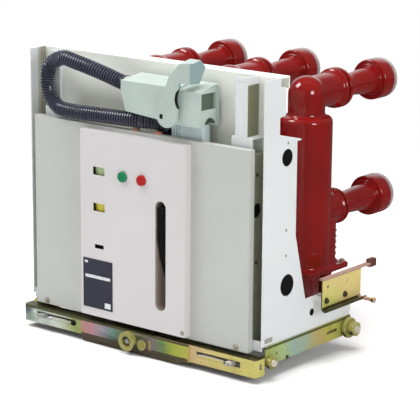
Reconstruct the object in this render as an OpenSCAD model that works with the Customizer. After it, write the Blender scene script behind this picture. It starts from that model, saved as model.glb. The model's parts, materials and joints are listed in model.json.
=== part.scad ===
// Withdrawable vacuum circuit breaker: a three-pole, indoor, truck-mounted switch.
// Frame: X across (right positive), Y into the cubicle, Z up. Millimetres.
// The origin is on the centre line, in the plane of the front cover's face,
// at the level of the chassis underside.

/* [Frame] */
// Width over the two side panels
frame_w = 640; // [630:1:650]
// Height of the frame's top above the underside
frame_top = 622; // [610:1:640]
// Distance from the cover's face to the rear edge of the side panels
frame_rear = 330; // [325:1:340]
// Thickness of the side panels
panel_t = 3; // [2:0.5:4]

/* [Front cover] */
// Distance from each edge of the cover to the outside of the side panel beside it
cover_inset = 25.5; // [24:0.5:30]
// Top of the front cover above the underside
cover_top = 481; // [476:1:486]
// Width of the raised facia in the middle of the cover
facia_w = 288; // [274:1:300]
// Height of the facia above the cover
facia_d = 20; // [16:1:24]

/* [Poles] */
// Spacing of the three poles
phase = 210; // [205:1:212]
// Height of the lower contact arms' axis above the underside
arm_low_z = 280; // [275:1:290]
// Vertical distance between the lower and the upper contact arms
arm_gap = 264; // [255:1:275]
// Distance from the cover's face to the ends of the contact arms
reach = 594; // [585:1:610]
// Radius of a pole's barrel
barrel_r = 57; // [54:1:60]
// Radius of the bore of a tulip contact
contact_bore_r = 18; // [16:0.5:20]

/* [Chassis] */
// Width of the front crossbeam
beam_w = 650; // [646:1:656]
// Radius of the front wheels
front_wheel_r = 13.5; // [12:0.5:14]
// Radius of the rear wheels
rear_wheel_r = 22.5; // [21:0.5:24]

/* [Hidden] */
$fn = 64;
eps = 1;

// Colours
white_paint = [0.88, 0.88, 0.88];
grey_paint = [0.78, 0.79, 0.77];
facia_paint = [0.87, 0.85, 0.85];
zinc_yellow = [0.72, 0.68, 0.36];
epoxy_red = [0.50, 0.06, 0.07];
plug_green = [0.68, 0.76, 0.72];
socket_blue = [0.66, 0.74, 0.78];
contact_silver = [0.80, 0.78, 0.74];
bright_steel = [0.80, 0.80, 0.80];
dark_gap = [0.10, 0.10, 0.10];

// Frame
half_w = frame_w / 2;
inner = half_w - panel_t;
frame_front = 14;
chassis_top = 70;
frame_z0 = chassis_top + 2;
deck_z = 108;
foot_z = 143;
foot_bend_y = 163;
wall_y = 122;
wall_t = 3;
wall_back = wall_y + wall_t;
wall_top = frame_top - 135;
wall_flange = 18;
lip_z = [62, 84];
waist_z = 287;
step_z = frame_top - 119;
nose_y = 65;
nose_z = frame_top - 81;
notch_y = 84;
panel_holes = [[92, 456, 18], [98, 187, 23], [188, 109, 8]];
notch_z = frame_top - 20;
beam_front = 62;
beam_rear = 100;
beam_sheet = 3;
beam_lip = 25;
sheet_t = 2;

// Mechanism housing behind the cover
housing_gap = 5;
housing_half = half_w - cover_inset - housing_gap;
housing_y0 = 20;
housing_top = cover_top - 13;
shaft_hole_y = 33;
shaft_hole_z = 352;
shaft_hole_r = 15.5;
shaft_hole_deep = 12;

// Posts that carry the upper beam
post_in = 239;
post_out = 268;
post_y = 22;
post_t = 3;
ledge_in = 230;
ledge_out = 283;
ledge_top = 500;

// Cover and facia
cover_half = half_w - cover_inset;
cover_z0 = 59;
cover_d = 16;
facia_z0 = 66;
facia_top = 473;
slot_x = 78.5;
slot_w = 29;
slot_z0 = 112;
slot_z1 = 348;
slot_deep = 44;
button_z = 385;
close_x = -24;
open_x = 28;
button_r = 11;
button_gap = 0.5;
button_out = 6;
stem_r = 5;
rod_fit = 0.15;
lever_y = 32;
lever_z = slot_z0 + 18;
lever_top = slot_z1 - 14;
lever_pin_r = 4;
lever_hub_r = 9;
lever_t = 19;
// Front and rear edges of the lever above its hub
lever_front = [[14, 158], [4, 185], [-10, 222], [-18, 262]];
lever_rear_y = 4;
window_x = -92;
flag_w = 33;
flag_h = 17.5;
counter_w = 26;
counter_h = 9;
position_z = 387;
spring_z = 308;
counter_z = 222;
plate_lo = [-137, 84];
plate_hi = [-54, 193];

// Control plug
plug_top = 596;
// Heights of the front top edges of the hood and of the square body
hood_brow = 588;
plug_brow = 584;
plug_back = 52;
plug_x0 = 115;
plug_x1 = 173;
plug_y = -8;
plug_z0 = 511;
plug_lip = 2;
hood_y = -11;
hood_x0 = -36;
// Slanting left edge and underside of the hood's flat side
hood_foot = [[-25, 524], [hood_x0, 566]];
hood_sole = [[plug_x0, 512], [60, 517]];
hood_shell = 3;
hood_mouth_z = 562;
// Room under the hood for the socket
hood_room = [[60, 500], [60, 520], [66, 524], [111, 524], [111, 500]];
recess_y = [-4, 42];
recess_z = [546, 580];
recess_deep = 6;
hollow_y = 23;
hollow_r = 18;
hollow_w = 17;
socket_x = [75, 156];
socket_y = [20, 46];
socket_rib = 3;
socket_pitch = 7;
latch_x = 92;
latch_z = 531;
latch_pin_r = 6;
latch_t = 6;
latch_gap = 1.5;
latch_y = hood_y - latch_gap - latch_t;
latch_lobe_r = 27;
grip_x = [126, 154];
grip_y1 = 32;
// The latch's neck, up to the horn that a hand grips
latch_neck = [[66, 533], [119, 531], [122, 546], [grip_x[0], 600], [grip_x[1], 608],
    [grip_x[1], 643], [grip_x[0], 639], [98, 609], [84, 575]];
latch_hollow = [141, 566];
latch_window = [[74, 521], [83, 531]];
// The horn seen from the side, behind its front face
horn_side = [[17, 646], [grip_y1, 630], [13, 598]];
horn_z = [600, 640];
gland_x = 45;
gland_y = 40;
gland_h = 8;
gland_wall = 5;
gland_fit = 0.8;
hose_r = 16.5;
hose_end = [-44, 18, 577];
// Corrugated hose: its centre line runs through these points.
hose_path = [hose_end, [-58, 18, 577], [-92, 12, 588], [-135, 6, 600], [-177, 3, 609],
    [-206, 3, 614], [-229, 3, 608], [-250, 3, 594], [-258, 3, 571], [-257, 3, 543],
    [-246, 3, 521], [-222, 3, 504], [-179, 3, 501], [-136, 3, 502], [-51, 8, 503],
    [0, 14, 503], [28, 26, 500], [42, 37, 490], [gland_x, gland_y, 479],
    [gland_x, gland_y, housing_top]];

// Poles
pole_y = 307;
arm_high_z = arm_low_z + arm_gap;
neck_r = barrel_r - 17;
arm_r = 36;
collar_y = 408;
low_collar_y = 412;
bell_r = 44;
low_bell_r = 40;
bell_t = 10;
low_bell_t = 6;
groove_t = 3;
groove_d = 6;
sleeve_r0 = 24;
sleeve_r1 = 30;
flare = 45;
low_flare = 25;
cup_r = 45;
cup_round = 4;
ring_t = 5;
cup_lip = 10;
cup_y = reach - 52;
cup_end = reach - 8;
cup_wall = 5;
cup_deep = 40;
contact_r = 34;
contact_lip_r = 38;
finger_n = 16;
finger_slit = 3;
finger_len = 22;
finger_web = 4;
shoulder_z = 498;
round_out = 11;
round_in = 4;
foot_slab_z0 = 156;
foot_slab_t = 12;
foot_half = 60;
foot_front = -55;
foot_back = 91;
foot_corner = 10;
foot_gap = [-17, 8];
hull_half = barrel_r - 3;
hull_corner = 15;
hull_front = 25;
hull_top = 272;
rib_n = 6;
rib_pitch = 13;
rib_t = 6;
rib_half = 44;
rib_z0 = 172;
rib_out = 12;
boss_half = 12;
boss_z = [205, 400];
boss_h = 40;
pole_x = [-phase, 0, phase];

// Chassis
rail_out = half_w + 2;
rail_w = 28;
rail_t = 3;
rail_z0 = 30;
rail_y0 = 26;
rail_y1 = 328;
rail_hole = [62, 50, 3];
rail_slot_y = [242, 278];
rail_slot_z = [46, 53];
guide_fit = 6;
guide_t = 8;
guide_len = 290;
beam_y = -12;
beam_d = 30;
beam_z0 = 14;
beam_z1 = 51;
beam_t = 3;
beam_round = 8;
beam_slot = [170, 285];
beam_slot_h = 12;
tray_w = 190;
tray_top = 40;
tray_t = 3;
wheel_floor = 24;
wheel_w = 10;
axle_r = 5;
wheel_fit = 0.15;
wheel_gap = 2;
roller_w = 14;
roller_r = rear_wheel_r - 7;
front_wheel_y = 37;
front_wheel_z = wheel_floor + front_wheel_r;
rear_wheel_y = 316;
rear_wheel_z = wheel_floor + rear_wheel_r;
screw_x = -11;
screw_z = 28.5;
screw_r = 9;
screw_fit = 0.3;
hex_r = 6;
hex_len = 12;
screw_end = frame_rear - 12;
nut_y0 = 60;
nut_y1 = 90;
nut_half = 20;
nut_top = 47;
nut_fit = 2;
cover_plate_lo = [-149, 1];
cover_plate_hi = [150, 50];
cover_plate_d = 5;
cover_bevel = 20;
cover_foot_y = -7;
cover_cut = [52, 11];
cover_sheet = 2;
ring_r = 21;
ring_bore_r = 12;
ring_out = 10;
lock_x = 26;
lock_z = 26;
lock_r = 11;
lock_out = 4;
lock_gap_x = [37, 50];
lock_gap_z = [16, 40];
tongue_z = 35;
tongue_y = 2;
tongue_t = 6;
tongue_h = 10;
knob_x = 265;
bracket_x = 24;
bracket_t = 3;
bracket_y = [186, 328];
bracket_z = [123, 180];
gutter_r = 9.5;
gutter_z = bracket_z[0];
pin_r = 4;
pin_y = 321;
pin_z = 118;
pin_len = 44;
strip_end = 386;
strip_w = 12;
strip_t = 4;
strip_block = 22;
bracket_hole_r = 3.5;
bracket_holes = [[20, -15], [88, -15]];
stud_r = 6;
stud_z = 136;
stud_y = [200, 268];

// Points along an arc about (cx, cy), for outlines.
function arc(cx, cy, r, a0, a1, n = 6) =
    [for (i = [0:n]) [cx + r * cos(a0 + (a1 - a0) * i / n), cy + r * sin(a0 + (a1 - a0) * i / n)]];

// A box from its lowest to its highest corner.
module block(lo, hi) {
    translate(lo) cube(hi - lo);
}

// A box between two planes of X on one side of the centre line, -1 left or 1 right.
module side_block(side, x, y, z) {
    block([side > 0 ? x[0] : -x[1], y[0], z[0]], [side > 0 ? x[1] : -x[0], y[1], z[1]]);
}

// A cylinder along Y from y0 to y1.
module bar_y(x, z, r, y0, y1) {
    translate([x, y1, z]) rotate([90, 0, 0]) cylinder(r = r, h = y1 - y0);
}

// A cylinder along X between two planes of X on one side of the centre line.
module side_bar(side, y, z, r, x) {
    translate([side > 0 ? x[0] : -x[1], y, z]) rotate([0, 90, 0]) cylinder(r = r, h = x[1] - x[0]);
}

// An outline in the YZ plane, given thickness along X from x0.
module plate_x(x0, t) {
    translate([x0, 0, 0]) rotate([90, 0, 90]) linear_extrude(t) children();
}

// An outline in the XZ plane, given thickness along Y from y0.
module plate_y(y0, t) {
    translate([0, y0 + t, 0]) rotate([90, 0, 0]) linear_extrude(t) children();
}

// A profile of radius against distance, turned about an axis that runs along +Y.
module turned_y(x, y, z) {
    translate([x, y, z]) rotate([-90, 0, 0]) rotate_extrude() children();
}

// A rectangle with four round corners.
module round_rect(lo, hi, r) {
    translate([lo[0] + r, lo[1]]) square([hi[0] - lo[0] - 2 * r, hi[1] - lo[1]]);
    translate([lo[0], lo[1] + r]) square([hi[0] - lo[0], hi[1] - lo[1] - 2 * r]);
    for (x = [lo[0] + r, hi[0] - r], y = [lo[1] + r, hi[1] - r]) translate([x, y]) circle(r = r);
}

// Side panels, folded at the front of the upper part
module panel_outline() {
    difference() {
        polygon(concat([[frame_front, frame_z0], [frame_front, frame_top], [nose_y + 2, frame_top],
            [nose_y + 2, notch_z], [notch_y, notch_z], [notch_y, nose_z + 2], [nose_y, nose_z],
            [nose_y, step_z], [wall_back, step_z - 13], [wall_back, waist_z], [foot_bend_y, foot_z],
            [frame_rear, foot_z]], arc(frame_rear - 12, frame_z0 + 12, 12, 0, -90)));
        for (h = panel_holes) translate([h[0], h[1]]) circle(r = h[2]);
    }
}

module side_panel(side) {
    color(white_paint) plate_x(side > 0 ? inner : -half_w, panel_t) panel_outline();
}
module side_panel_left() side_panel(-1);
module side_panel_right() side_panel(1);

// A channel, open to the rear, whose front plate stands behind the plug.
module upper_beam() {
    color(white_paint) plate_x(-inner, 2 * inner) polygon([[beam_front, housing_top],
        [beam_front, frame_top], [beam_rear, frame_top], [beam_rear, frame_top - beam_lip],
        [beam_rear - beam_sheet, frame_top - beam_lip], [beam_rear - beam_sheet, frame_top - beam_sheet],
        [beam_front + beam_sheet, frame_top - beam_sheet], [beam_front + beam_sheet, housing_top]]);
}

module rear_wall() {
    color(white_paint) {
        block([-inner, wall_y, deck_z], [inner, wall_back, wall_top]);
        block([-inner, wall_back, wall_top - wall_t], [inner, wall_back + wall_flange, wall_top]);
    }
}

module base_trough() {
    color(white_paint) {
        difference() {
            block([-inner, wall_y, frame_z0], [inner, frame_rear, deck_z]);
            block([-inner + 4, wall_y + 4, frame_z0 - eps], [inner - 4, frame_rear - 4, deck_z - 4]);
        }
        block([-inner, housing_y0, frame_z0], [inner, wall_y, frame_z0 + wall_t]);
        // Upright lip behind the cover's foot
        block([-inner, housing_y0 - wall_t, lip_z[0]], [inner, housing_y0, lip_z[1]]);
    }
}

module mechanism_housing() {
    color(grey_paint) difference() {
        block([-housing_half, housing_y0, frame_z0 + wall_t], [housing_half, wall_y, housing_top]);
        block([slot_x - slot_w / 2, housing_y0 - eps, slot_z0],
            [slot_x + slot_w / 2, slot_deep, slot_z1]);
        for (side = [-1, 1])
            side_bar(side, shaft_hole_y, shaft_hole_z, shaft_hole_r,
                [housing_half - shaft_hole_deep, housing_half + eps]);
        for (x = [close_x, open_x]) {
            bar_y(x, button_z, button_r + 2, housing_y0 - eps, housing_y0 + 6);
            bar_y(x, button_z, stem_r + rod_fit, housing_y0, housing_y0 + 26);
        }
    }
    color(grey_paint) translate([slot_x - slot_w / 2, lever_y, lever_z]) rotate([0, 90, 0])
        cylinder(r = lever_pin_r, h = slot_w);
}

module upper_posts() {
    color(white_paint) for (side = [-1, 1]) {
        difference() {
            side_block(side, [post_in, post_out], [post_y, post_y + post_t], [ledge_top, frame_top]);
            side_block(side, [post_in + 6, post_out - 8], [post_y - eps, post_y + post_t + eps],
                [frame_top - 12, frame_top - 7]);
        }
        side_block(side, [post_out - post_t, post_out], [post_y + post_t, beam_front],
            [ledge_top, frame_top]);
        side_block(side, [ledge_in, ledge_out], [post_y, post_y + post_t], [housing_top, ledge_top]);
        side_block(side, [ledge_in, ledge_out], [post_y + post_t, beam_front],
            [ledge_top - post_t, ledge_top]);
    }
}

module window_cut(z, w, h) {
    block([window_x - w / 2, -facia_d - eps, z - h / 2],
        [window_x + w / 2, sheet_t + eps, z + h / 2]);
}

module windows_cut() {
    window_cut(position_z, flag_w, flag_h);
    window_cut(spring_z, flag_w, flag_h);
    window_cut(counter_z, counter_w, counter_h);
}

module slot_cut() {
    plate_y(-facia_d - eps, facia_d + sheet_t + 2 * eps)
        round_rect([slot_x - slot_w / 2, slot_z0], [slot_x + slot_w / 2, slot_z1], slot_w / 2 - 0.01);
}

module front_cover() {
    color(grey_paint) difference() {
        block([-cover_half, 0, cover_z0], [cover_half, cover_d, cover_top]);
        block([-cover_half + sheet_t, sheet_t, cover_z0 - eps],
            [cover_half - sheet_t, cover_d + eps, cover_top - sheet_t]);
        slot_cut();
        for (x = [close_x, open_x]) bar_y(x, button_z, button_r + 2, -eps, sheet_t + eps);
        windows_cut();
    }
}

module facia() {
    color(facia_paint) difference() {
        block([-facia_w / 2, -facia_d, facia_z0], [facia_w / 2, 0, facia_top]);
        block([-facia_w / 2 + sheet_t, sheet_t - facia_d, facia_z0 - eps],
            [facia_w / 2 - sheet_t, eps, facia_top - sheet_t]);
        slot_cut();
        for (x = [close_x, open_x])
            bar_y(x, button_z, button_r + button_gap, -facia_d - eps, sheet_t - facia_d + eps);
        windows_cut();
    }
}

// A flag behind a window of the facia, a little larger than its opening.
module flag(z, w, h, tone) {
    color(tone) block([window_x - w / 2 - 2, sheet_t - facia_d, z - h / 2 - 2],
        [window_x + w / 2 + 2, -4, z + h / 2 + 2]);
}
module position_window() flag(position_z, flag_w, flag_h, [0.30, 0.62, 0.30]);
module spring_window() flag(spring_z, flag_w, flag_h, [0.80, 0.75, 0.15]);
module counter_window() flag(counter_z, counter_w, counter_h, dark_gap);

module nameplate() {
    color([0.24, 0.27, 0.38])
        block([plate_lo[0], -facia_d - 1, plate_lo[1]], [plate_hi[0], -facia_d, plate_hi[1]]);
}

module push_button(x, tone) {
    color(tone) {
        turned_y(x, -facia_d - button_out, button_z) polygon(concat([[0, 0], [button_r - 1.5, 0]],
            arc(button_r - 1.5, 1.5, 1.5, -90, 0, 4),
            [[button_r, facia_d], [0, facia_d]]));
        bar_y(x, button_z, stem_r, -button_out, housing_y0 + 16);
    }
}
module close_button() push_button(close_x, [0.10, 0.60, 0.35]);
module open_button() push_button(open_x, [0.80, 0.10, 0.12]);

module charging_lever() {
    color(dark_gap) difference() {
        union() {
            plate_x(slot_x - lever_t / 2, lever_t) polygon(concat(
                [[lever_y + lever_hub_r - 1, lever_z], [lever_y - lever_hub_r + 1, lever_z]],
                lever_front, [[lever_front[3][0], lever_top], [lever_rear_y, lever_top]]));
            translate([slot_x - lever_t / 2, lever_y, lever_z]) rotate([0, 90, 0])
                cylinder(r = lever_hub_r, h = lever_t);
        }
        translate([slot_x - lever_t, lever_y, lever_z]) rotate([0, 90, 0])
            cylinder(r = lever_pin_r + rod_fit, h = 2 * lever_t);
    }
}

module socket_base() {
    color(socket_blue) difference() {
        block([socket_x[0], socket_y[0], housing_top], [socket_x[1], socket_y[1], plug_z0]);
        for (i = [0:2]) translate([socket_x[0] + 5 + socket_pitch * i, 0, 0])
            block([0, socket_y[0] - eps, housing_top + 4],
                [socket_rib, socket_y[0] + socket_rib, plug_z0 + eps]);
    }
}

// Cuts a top down to a slope that rises from a front edge to the plug's back.
module brow(y, z, x) {
    plate_x(x[0], x[1] - x[0]) polygon([[y, z], [plug_back, plug_top], [plug_back, plug_top + eps],
        [y - eps, plug_top + eps], [y - eps, z]]);
}

module plug_hood() {
    color(plug_green) {
        bar_y(latch_x, latch_z, latch_pin_r, latch_y + 2, hood_y);
        // Tapered part that takes the hose
        difference() {
            plate_y(hood_y, plug_back - hood_y)
                polygon(concat(hood_foot, [[hood_x0, plug_top], [plug_x0, plug_top]], hood_sole));
            plate_y(hood_y + hood_shell, plug_back) polygon(hood_room);
            brow(hood_y, hood_brow, [hood_x0 - eps, plug_x0]);
        }
        block([hood_x0 - 3, hood_y + 2, hood_mouth_z], [hood_x0, plug_back - 6, hood_brow]);
        translate([hose_end[0], hose_end[1], hose_end[2] - 3]) rotate([0, 90, 0])
            cylinder(r = hose_r + 1, h = hood_x0 - hose_end[0]);
        // Square body over the socket
        difference() {
            block([plug_x0, plug_y, plug_z0], [plug_x1, plug_back, plug_top]);
            brow(plug_y, plug_brow, [plug_x0 - eps, plug_x1 + eps]);
            block([plug_x1 - recess_deep, recess_y[0], recess_z[0]],
                [plug_x1 + eps, recess_y[1], recess_z[1]]);
            translate([plug_x1 - hollow_w, hollow_y, plug_z0]) rotate([0, 90, 0])
                cylinder(r = hollow_r, h = hollow_w + eps);
        }
        block([plug_x1, plug_back - 8, plug_z0 - 3], [plug_x1 + plug_lip, plug_back, plug_top - 2]);
    }
}

// The latch's cheek: a round lobe on the pin, a neck, and the root of its grip.
module latch_outline() {
    difference() {
        union() {
            translate([latch_x, latch_z]) circle(r = latch_lobe_r);
            polygon(latch_neck);
        }
        translate(latch_hollow) circle(r = latch_lobe_r);
        translate(latch_window[0]) square(latch_window[1] - latch_window[0]);
    }
}

module plug_latch() {
    color(plug_green) difference() {
        union() {
            plate_y(latch_y, latch_t) latch_outline();
            plate_x(grip_x[0], grip_x[1] - grip_x[0])
                polygon(concat([[latch_y, horn_z[0]], [latch_y, horn_z[1]]], horn_side));
        }
        bar_y(latch_x, latch_z, latch_pin_r + rod_fit, latch_y + 1.8, hood_y);
    }
}

function unit(v) = v / norm(v);
function clamp_i(i, n) = max(0, min(n - 1, i));
// A smooth line through the points of p, k steps to each gap.
function spline(p, i, t) =
    let (a = p[clamp_i(i - 1, len(p))], b = p[i], c = p[i + 1], d = p[clamp_i(i + 2, len(p))])
    0.5 * (2 * b + (c - a) * t + (2 * a - 5 * b + 4 * c - d) * t * t
        + (3 * b - a - 3 * c + d) * t * t * t);
function route(p, k) = [for (i = [0:len(p) - 2]) for (j = [0:k - 1]) spline(p, i, j / k),
    p[len(p) - 1]];
// The way the line runs at each of its points, square to the faces that it ends on.
function headings(p, q) = [unit(p[1] - p[0]),
    for (i = [1:len(q) - 2]) unit(q[i + 1] - q[i - 1]), unit(p[len(p) - 1] - p[len(p) - 2])];
// Each ring's side direction stays level with the one before it.
function frames(q, t, i = 0, s = [0, 1, 0]) = i == len(q) ? [] :
    let (u = unit(s - (s * t[i]) * t[i]))
    concat([[q[i], u, cross(t[i], u)]], frames(q, t, i + 1, u));
module tube(p, r, k, sides) {
    q = route(p, k);
    f = frames(q, headings(p, q));
    n = len(f);
    pts = [for (g = f) for (a = [0:sides - 1])
        g[0] + r * (cos(360 * a / sides) * g[1] + sin(360 * a / sides) * g[2])];
    sidesf = [for (i = [0:n - 2]) for (a = [0:sides - 1])
        let (b = (a + 1) % sides)
        [i * sides + a, i * sides + b, (i + 1) * sides + b, (i + 1) * sides + a]];
    cap0 = [for (a = [sides - 1:-1:0]) a];
    cap1 = [for (a = [0:sides - 1]) (n - 1) * sides + a];
    polyhedron(pts, concat([cap0], sidesf, [cap1]), convexity = 6);
}

module corrugated_hose() {
    color([0.16, 0.16, 0.22]) tube(hose_path, hose_r, 3, 12);
}

module hose_gland() {
    color(dark_gap) translate([gland_x, gland_y, housing_top]) difference() {
        cylinder(r = hose_r + gland_wall, h = gland_h);
        translate([0, 0, -eps]) cylinder(r = hose_r + gland_fit, h = gland_h + 2 * eps);
    }
}

// Poles: one resin casting each, from the foot on the deck to the two arm collars.
module barrel_profile() {
    polygon(concat([[0, foot_slab_z0], [barrel_r, foot_slab_z0]],
        arc(barrel_r - round_out, shoulder_z - round_out, round_out, 0, 90),
        arc(neck_r + round_in, shoulder_z + round_in, round_in, 270, 180),
        [[neck_r, arm_high_z], [0, arm_high_z]]));
}

// An arm that flares out to a flat collar at its end.
module arm_profile(r, bell, rim, len) {
    polygon(concat([[0, 0], [r, 0]],
        [for (p = arc(bell, len - rim, bell - r, 180, 90)) [p[0], p[1] - (bell - r)]],
        [[bell, len], [0, len]]));
}

module pole(x) {
    color(epoxy_red) {
        translate([x, pole_y, 0]) {
            rotate_extrude() barrel_profile();
            translate([0, 0, arm_high_z]) sphere(r = neck_r);
            // Square hull round the flexible link, with creepage ribs on its back
            translate([0, 0, foot_slab_z0]) linear_extrude(hull_top - foot_slab_z0)
                round_rect([-hull_half, -hull_front], [hull_half, hull_half], hull_corner);
            for (i = [0:rib_n - 1])
                block([-rib_half, 0, rib_z0 + i * rib_pitch],
                    [rib_half, hull_half + rib_out, rib_z0 + i * rib_pitch + rib_t]);
            // Foot
            translate([0, 0, foot_slab_z0]) linear_extrude(foot_slab_t)
                round_rect([-foot_half, foot_front], [foot_half, foot_back], foot_corner);
            translate([0, 0, deck_z]) linear_extrude(foot_slab_z0 - deck_z) {
                round_rect([-foot_half, foot_front], [foot_half, foot_gap[0]], foot_corner);
                translate([-foot_half, foot_gap[1]])
                    square([2 * foot_half, frame_rear - pole_y - foot_gap[1]]);
            }
            // Bosses bolted to the rear wall
            for (z = boss_z)
                block([-boss_half, wall_back - pole_y, z], [boss_half, 0, z + boss_h]);
        }
        turned_y(x, pole_y, arm_high_z) arm_profile(arm_r, bell_r, bell_t, collar_y - pole_y);
        turned_y(x, pole_y, arm_low_z) arm_profile(arm_r - 1, low_bell_r, low_bell_t,
            low_collar_y - pole_y);
    }
}
module pole_left() pole(pole_x[0]);
module pole_middle() pole(pole_x[1]);
module pole_right() pole(pole_x[2]);

// Insulating sleeve: collar, concave flare, slim neck, and a cup round the contact.
module sleeve_profile(bell, rim, concave, len) {
    lip = len - reach + cup_y;
    polygon(concat([[0, 0], [bell - groove_d, 0], [bell - groove_d, groove_t], [bell, groove_t]],
        [for (p = [0:6]) let (a = 15 * p) [sleeve_r0 + (bell - sleeve_r0) * (1 - sin(a)),
            groove_t + rim + concave * (1 - cos(a))]],
        [[sleeve_r1, lip - ring_t], [sleeve_r1 + ring_t, lip - ring_t], [sleeve_r1 + ring_t, lip]],
        arc(cup_r - cup_round, lip + cup_round, cup_round, -90, 0),
        [[cup_r, len - cup_lip], [cup_r - 2, len - reach + cup_end], [0, len - reach + cup_end]]));
}

module sleeve(x, z, y0, bell, rim, concave) {
    difference() {
        turned_y(x, y0, z) sleeve_profile(bell, rim, concave, reach - y0);
        bar_y(x, z, cup_r - cup_wall, reach - cup_deep, reach + eps);
    }
}
module upper_sleeves() {
    color(epoxy_red) for (x = pole_x) sleeve(x, arm_high_z, collar_y, bell_r, bell_t, flare);
}
module lower_sleeves() {
    color(epoxy_red) for (x = pole_x)
        sleeve(x, arm_low_z, low_collar_y, low_bell_r, low_bell_t, low_flare);
}

// Tulip contact: a ring of fingers round the bore, slit from the outside.
module tulip(x, z) {
    back = reach - cup_deep;
    difference() {
        turned_y(x, back, z) polygon([[0, 0], [contact_r, 0], [contact_r, cup_deep - 12],
            [contact_lip_r, cup_deep - 8], [contact_lip_r, cup_deep - 2],
            [contact_lip_r - 2, cup_deep], [0, cup_deep]]);
        bar_y(x, z, contact_bore_r, back + 6, reach + eps);
        for (i = [0:finger_n - 1])
            translate([x, 0, z]) rotate([0, 360 * i / finger_n, 0])
                block([contact_bore_r + finger_web, reach - finger_len, -finger_slit / 2],
                    [contact_lip_r + eps, reach + eps, finger_slit / 2]);
    }
}
module upper_contacts() {
    color(contact_silver) for (x = pole_x) tulip(x, arm_high_z);
}
module lower_contacts() {
    color(contact_silver) for (x = pole_x) tulip(x, arm_low_z);
}

// Chassis
module rail(side) {
    x = [rail_out - rail_w, rail_out];
    color(zinc_yellow) {
        difference() {
            side_block(side, x, [rail_y0, rail_y1], [rail_z0, chassis_top]);
            side_block(side, [x[0] - eps, rail_out - rail_t], [rail_y0 - eps, rail_y1 + eps],
                [rail_z0 + rail_t, chassis_top - rail_t]);
            side_bar(side, rail_hole[0], rail_hole[1], rail_hole[2],
                [rail_out - rail_t - eps, rail_out + eps]);
            side_block(side, [rail_out - rail_t - eps, rail_out + eps], rail_slot_y, rail_slot_z);
        }
        side_block(side, x, [rail_y0, rail_y1], [chassis_top, frame_z0]);
        side_bar(side, front_wheel_y, front_wheel_z, axle_r,
            [rail_out - rail_t, rail_out + wheel_gap + wheel_w + 2]);
        side_bar(side, rear_wheel_y, rear_wheel_z, axle_r,
            [rail_out - rail_t, rail_out + wheel_gap + wheel_w + roller_w + 2]);
    }
}
module rail_left() rail(-1);
module rail_right() rail(1);

module front_wheel(side) {
    x = rail_out + wheel_gap;
    color(zinc_yellow) difference() {
        side_bar(side, front_wheel_y, front_wheel_z, front_wheel_r, [x, x + wheel_w]);
        side_bar(side, front_wheel_y, front_wheel_z, axle_r + wheel_fit, [x - eps, x + wheel_w + eps]);
    }
}
module rear_wheel(side) {
    x = rail_out + wheel_gap;
    color(zinc_yellow) difference() {
        union() {
            side_bar(side, rear_wheel_y, rear_wheel_z, rear_wheel_r, [x, x + wheel_w - 2]);
            side_bar(side, rear_wheel_y, rear_wheel_z, roller_r - 4, [x, x + wheel_w + 2]);
            side_bar(side, rear_wheel_y, rear_wheel_z, roller_r, [x + wheel_w + 2, x + wheel_w + roller_w]);
        }
        side_bar(side, rear_wheel_y, rear_wheel_z, axle_r + wheel_fit,
            [x - eps, x + wheel_w + roller_w + eps]);
    }
}
module wheel_front_left() front_wheel(-1);
module wheel_front_right() front_wheel(1);
module wheel_rear_left() rear_wheel(-1);
module wheel_rear_right() rear_wheel(1);

module screw_tray() {
    half = tray_w / 2;
    color(zinc_yellow) {
        difference() {
            block([-half, rail_y0, 0], [half, frame_rear, tray_top]);
            block([-half + tray_t, rail_y0 - eps, tray_t],
                [half - tray_t, frame_rear - tray_t, tray_top + eps]);
        }
        block([-half, -1, 0], [half, rail_y0, tray_t]);
        for (side = [-1, 1])
            side_block(side, [half - tray_t, half], [rail_y0, frame_rear], [tray_top, frame_z0]);
        // Saddle over the screw, on the tray's floor
        for (side = [-1, 1])
            translate([screw_x, 0, 0]) side_block(side, [screw_r + nut_fit, nut_half], [nut_y0, nut_y1],
                [tray_t, screw_z + screw_r + nut_fit]);
        block([screw_x - nut_half, nut_y0, screw_z + screw_r + nut_fit],
            [screw_x + nut_half, nut_y1, nut_top]);
    }
}

// Bracket that works the cubicle's shutter: a drilled plate with a top strip and a
// rolled lower edge.
module shutter_bracket(side) {
    x = half_w + bracket_x;
    color(zinc_yellow) difference() {
        union() {
            side_block(side, [x, x + bracket_t], bracket_y, bracket_z);
            for (y = stud_y)
                side_bar(side, y, stud_z, stud_r, [half_w, x + eps]);
            side_block(side, [x + bracket_t - strip_w, x + bracket_t],
                [bracket_y[0] + 5, strip_end - strip_block], [bracket_z[1], bracket_z[1] + strip_t]);
            side_block(side, [x + bracket_t - strip_w, x + bracket_t],
                [strip_end - strip_block, strip_end], [bracket_z[1] - 6, bracket_z[1] + 11]);
            translate([side * (x + gutter_r), 0, gutter_z]) rotate([-90, 0, 0]) {
                translate([0, 0, bracket_y[0]]) linear_extrude(bracket_y[1] - bracket_y[0]) difference() {
                    circle(r = gutter_r);
                    circle(r = gutter_r - bracket_t);
                    translate([-gutter_r - eps, -gutter_r - eps]) square([2 * (gutter_r + eps), gutter_r + eps]);
                }
            }
            side_bar(side, pin_y, pin_z, pin_r, [x, x + pin_len]);
            side_bar(side, pin_y, pin_z, pin_r + 2, [x + pin_len - 7, x + pin_len]);
        }
        for (h = bracket_holes) side_bar(side, bracket_y[0] + h[0], bracket_z[1] + h[1],
            bracket_hole_r, [x - eps, x + bracket_t + eps]);
    }
}
module shutter_bracket_left() shutter_bracket(-1);
module shutter_bracket_right() shutter_bracket(1);

// Front edge and two round front corners, seen from above.
module beam_plan(half, y0, y1, r) {
    translate([r - half, y0]) square([2 * (half - r), y1 - y0]);
    translate([-half, y0 + r]) square([2 * half, y1 - y0 - r]);
    for (x = [r - half, half - r]) translate([x, y0 + r]) circle(r = r);
}

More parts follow.
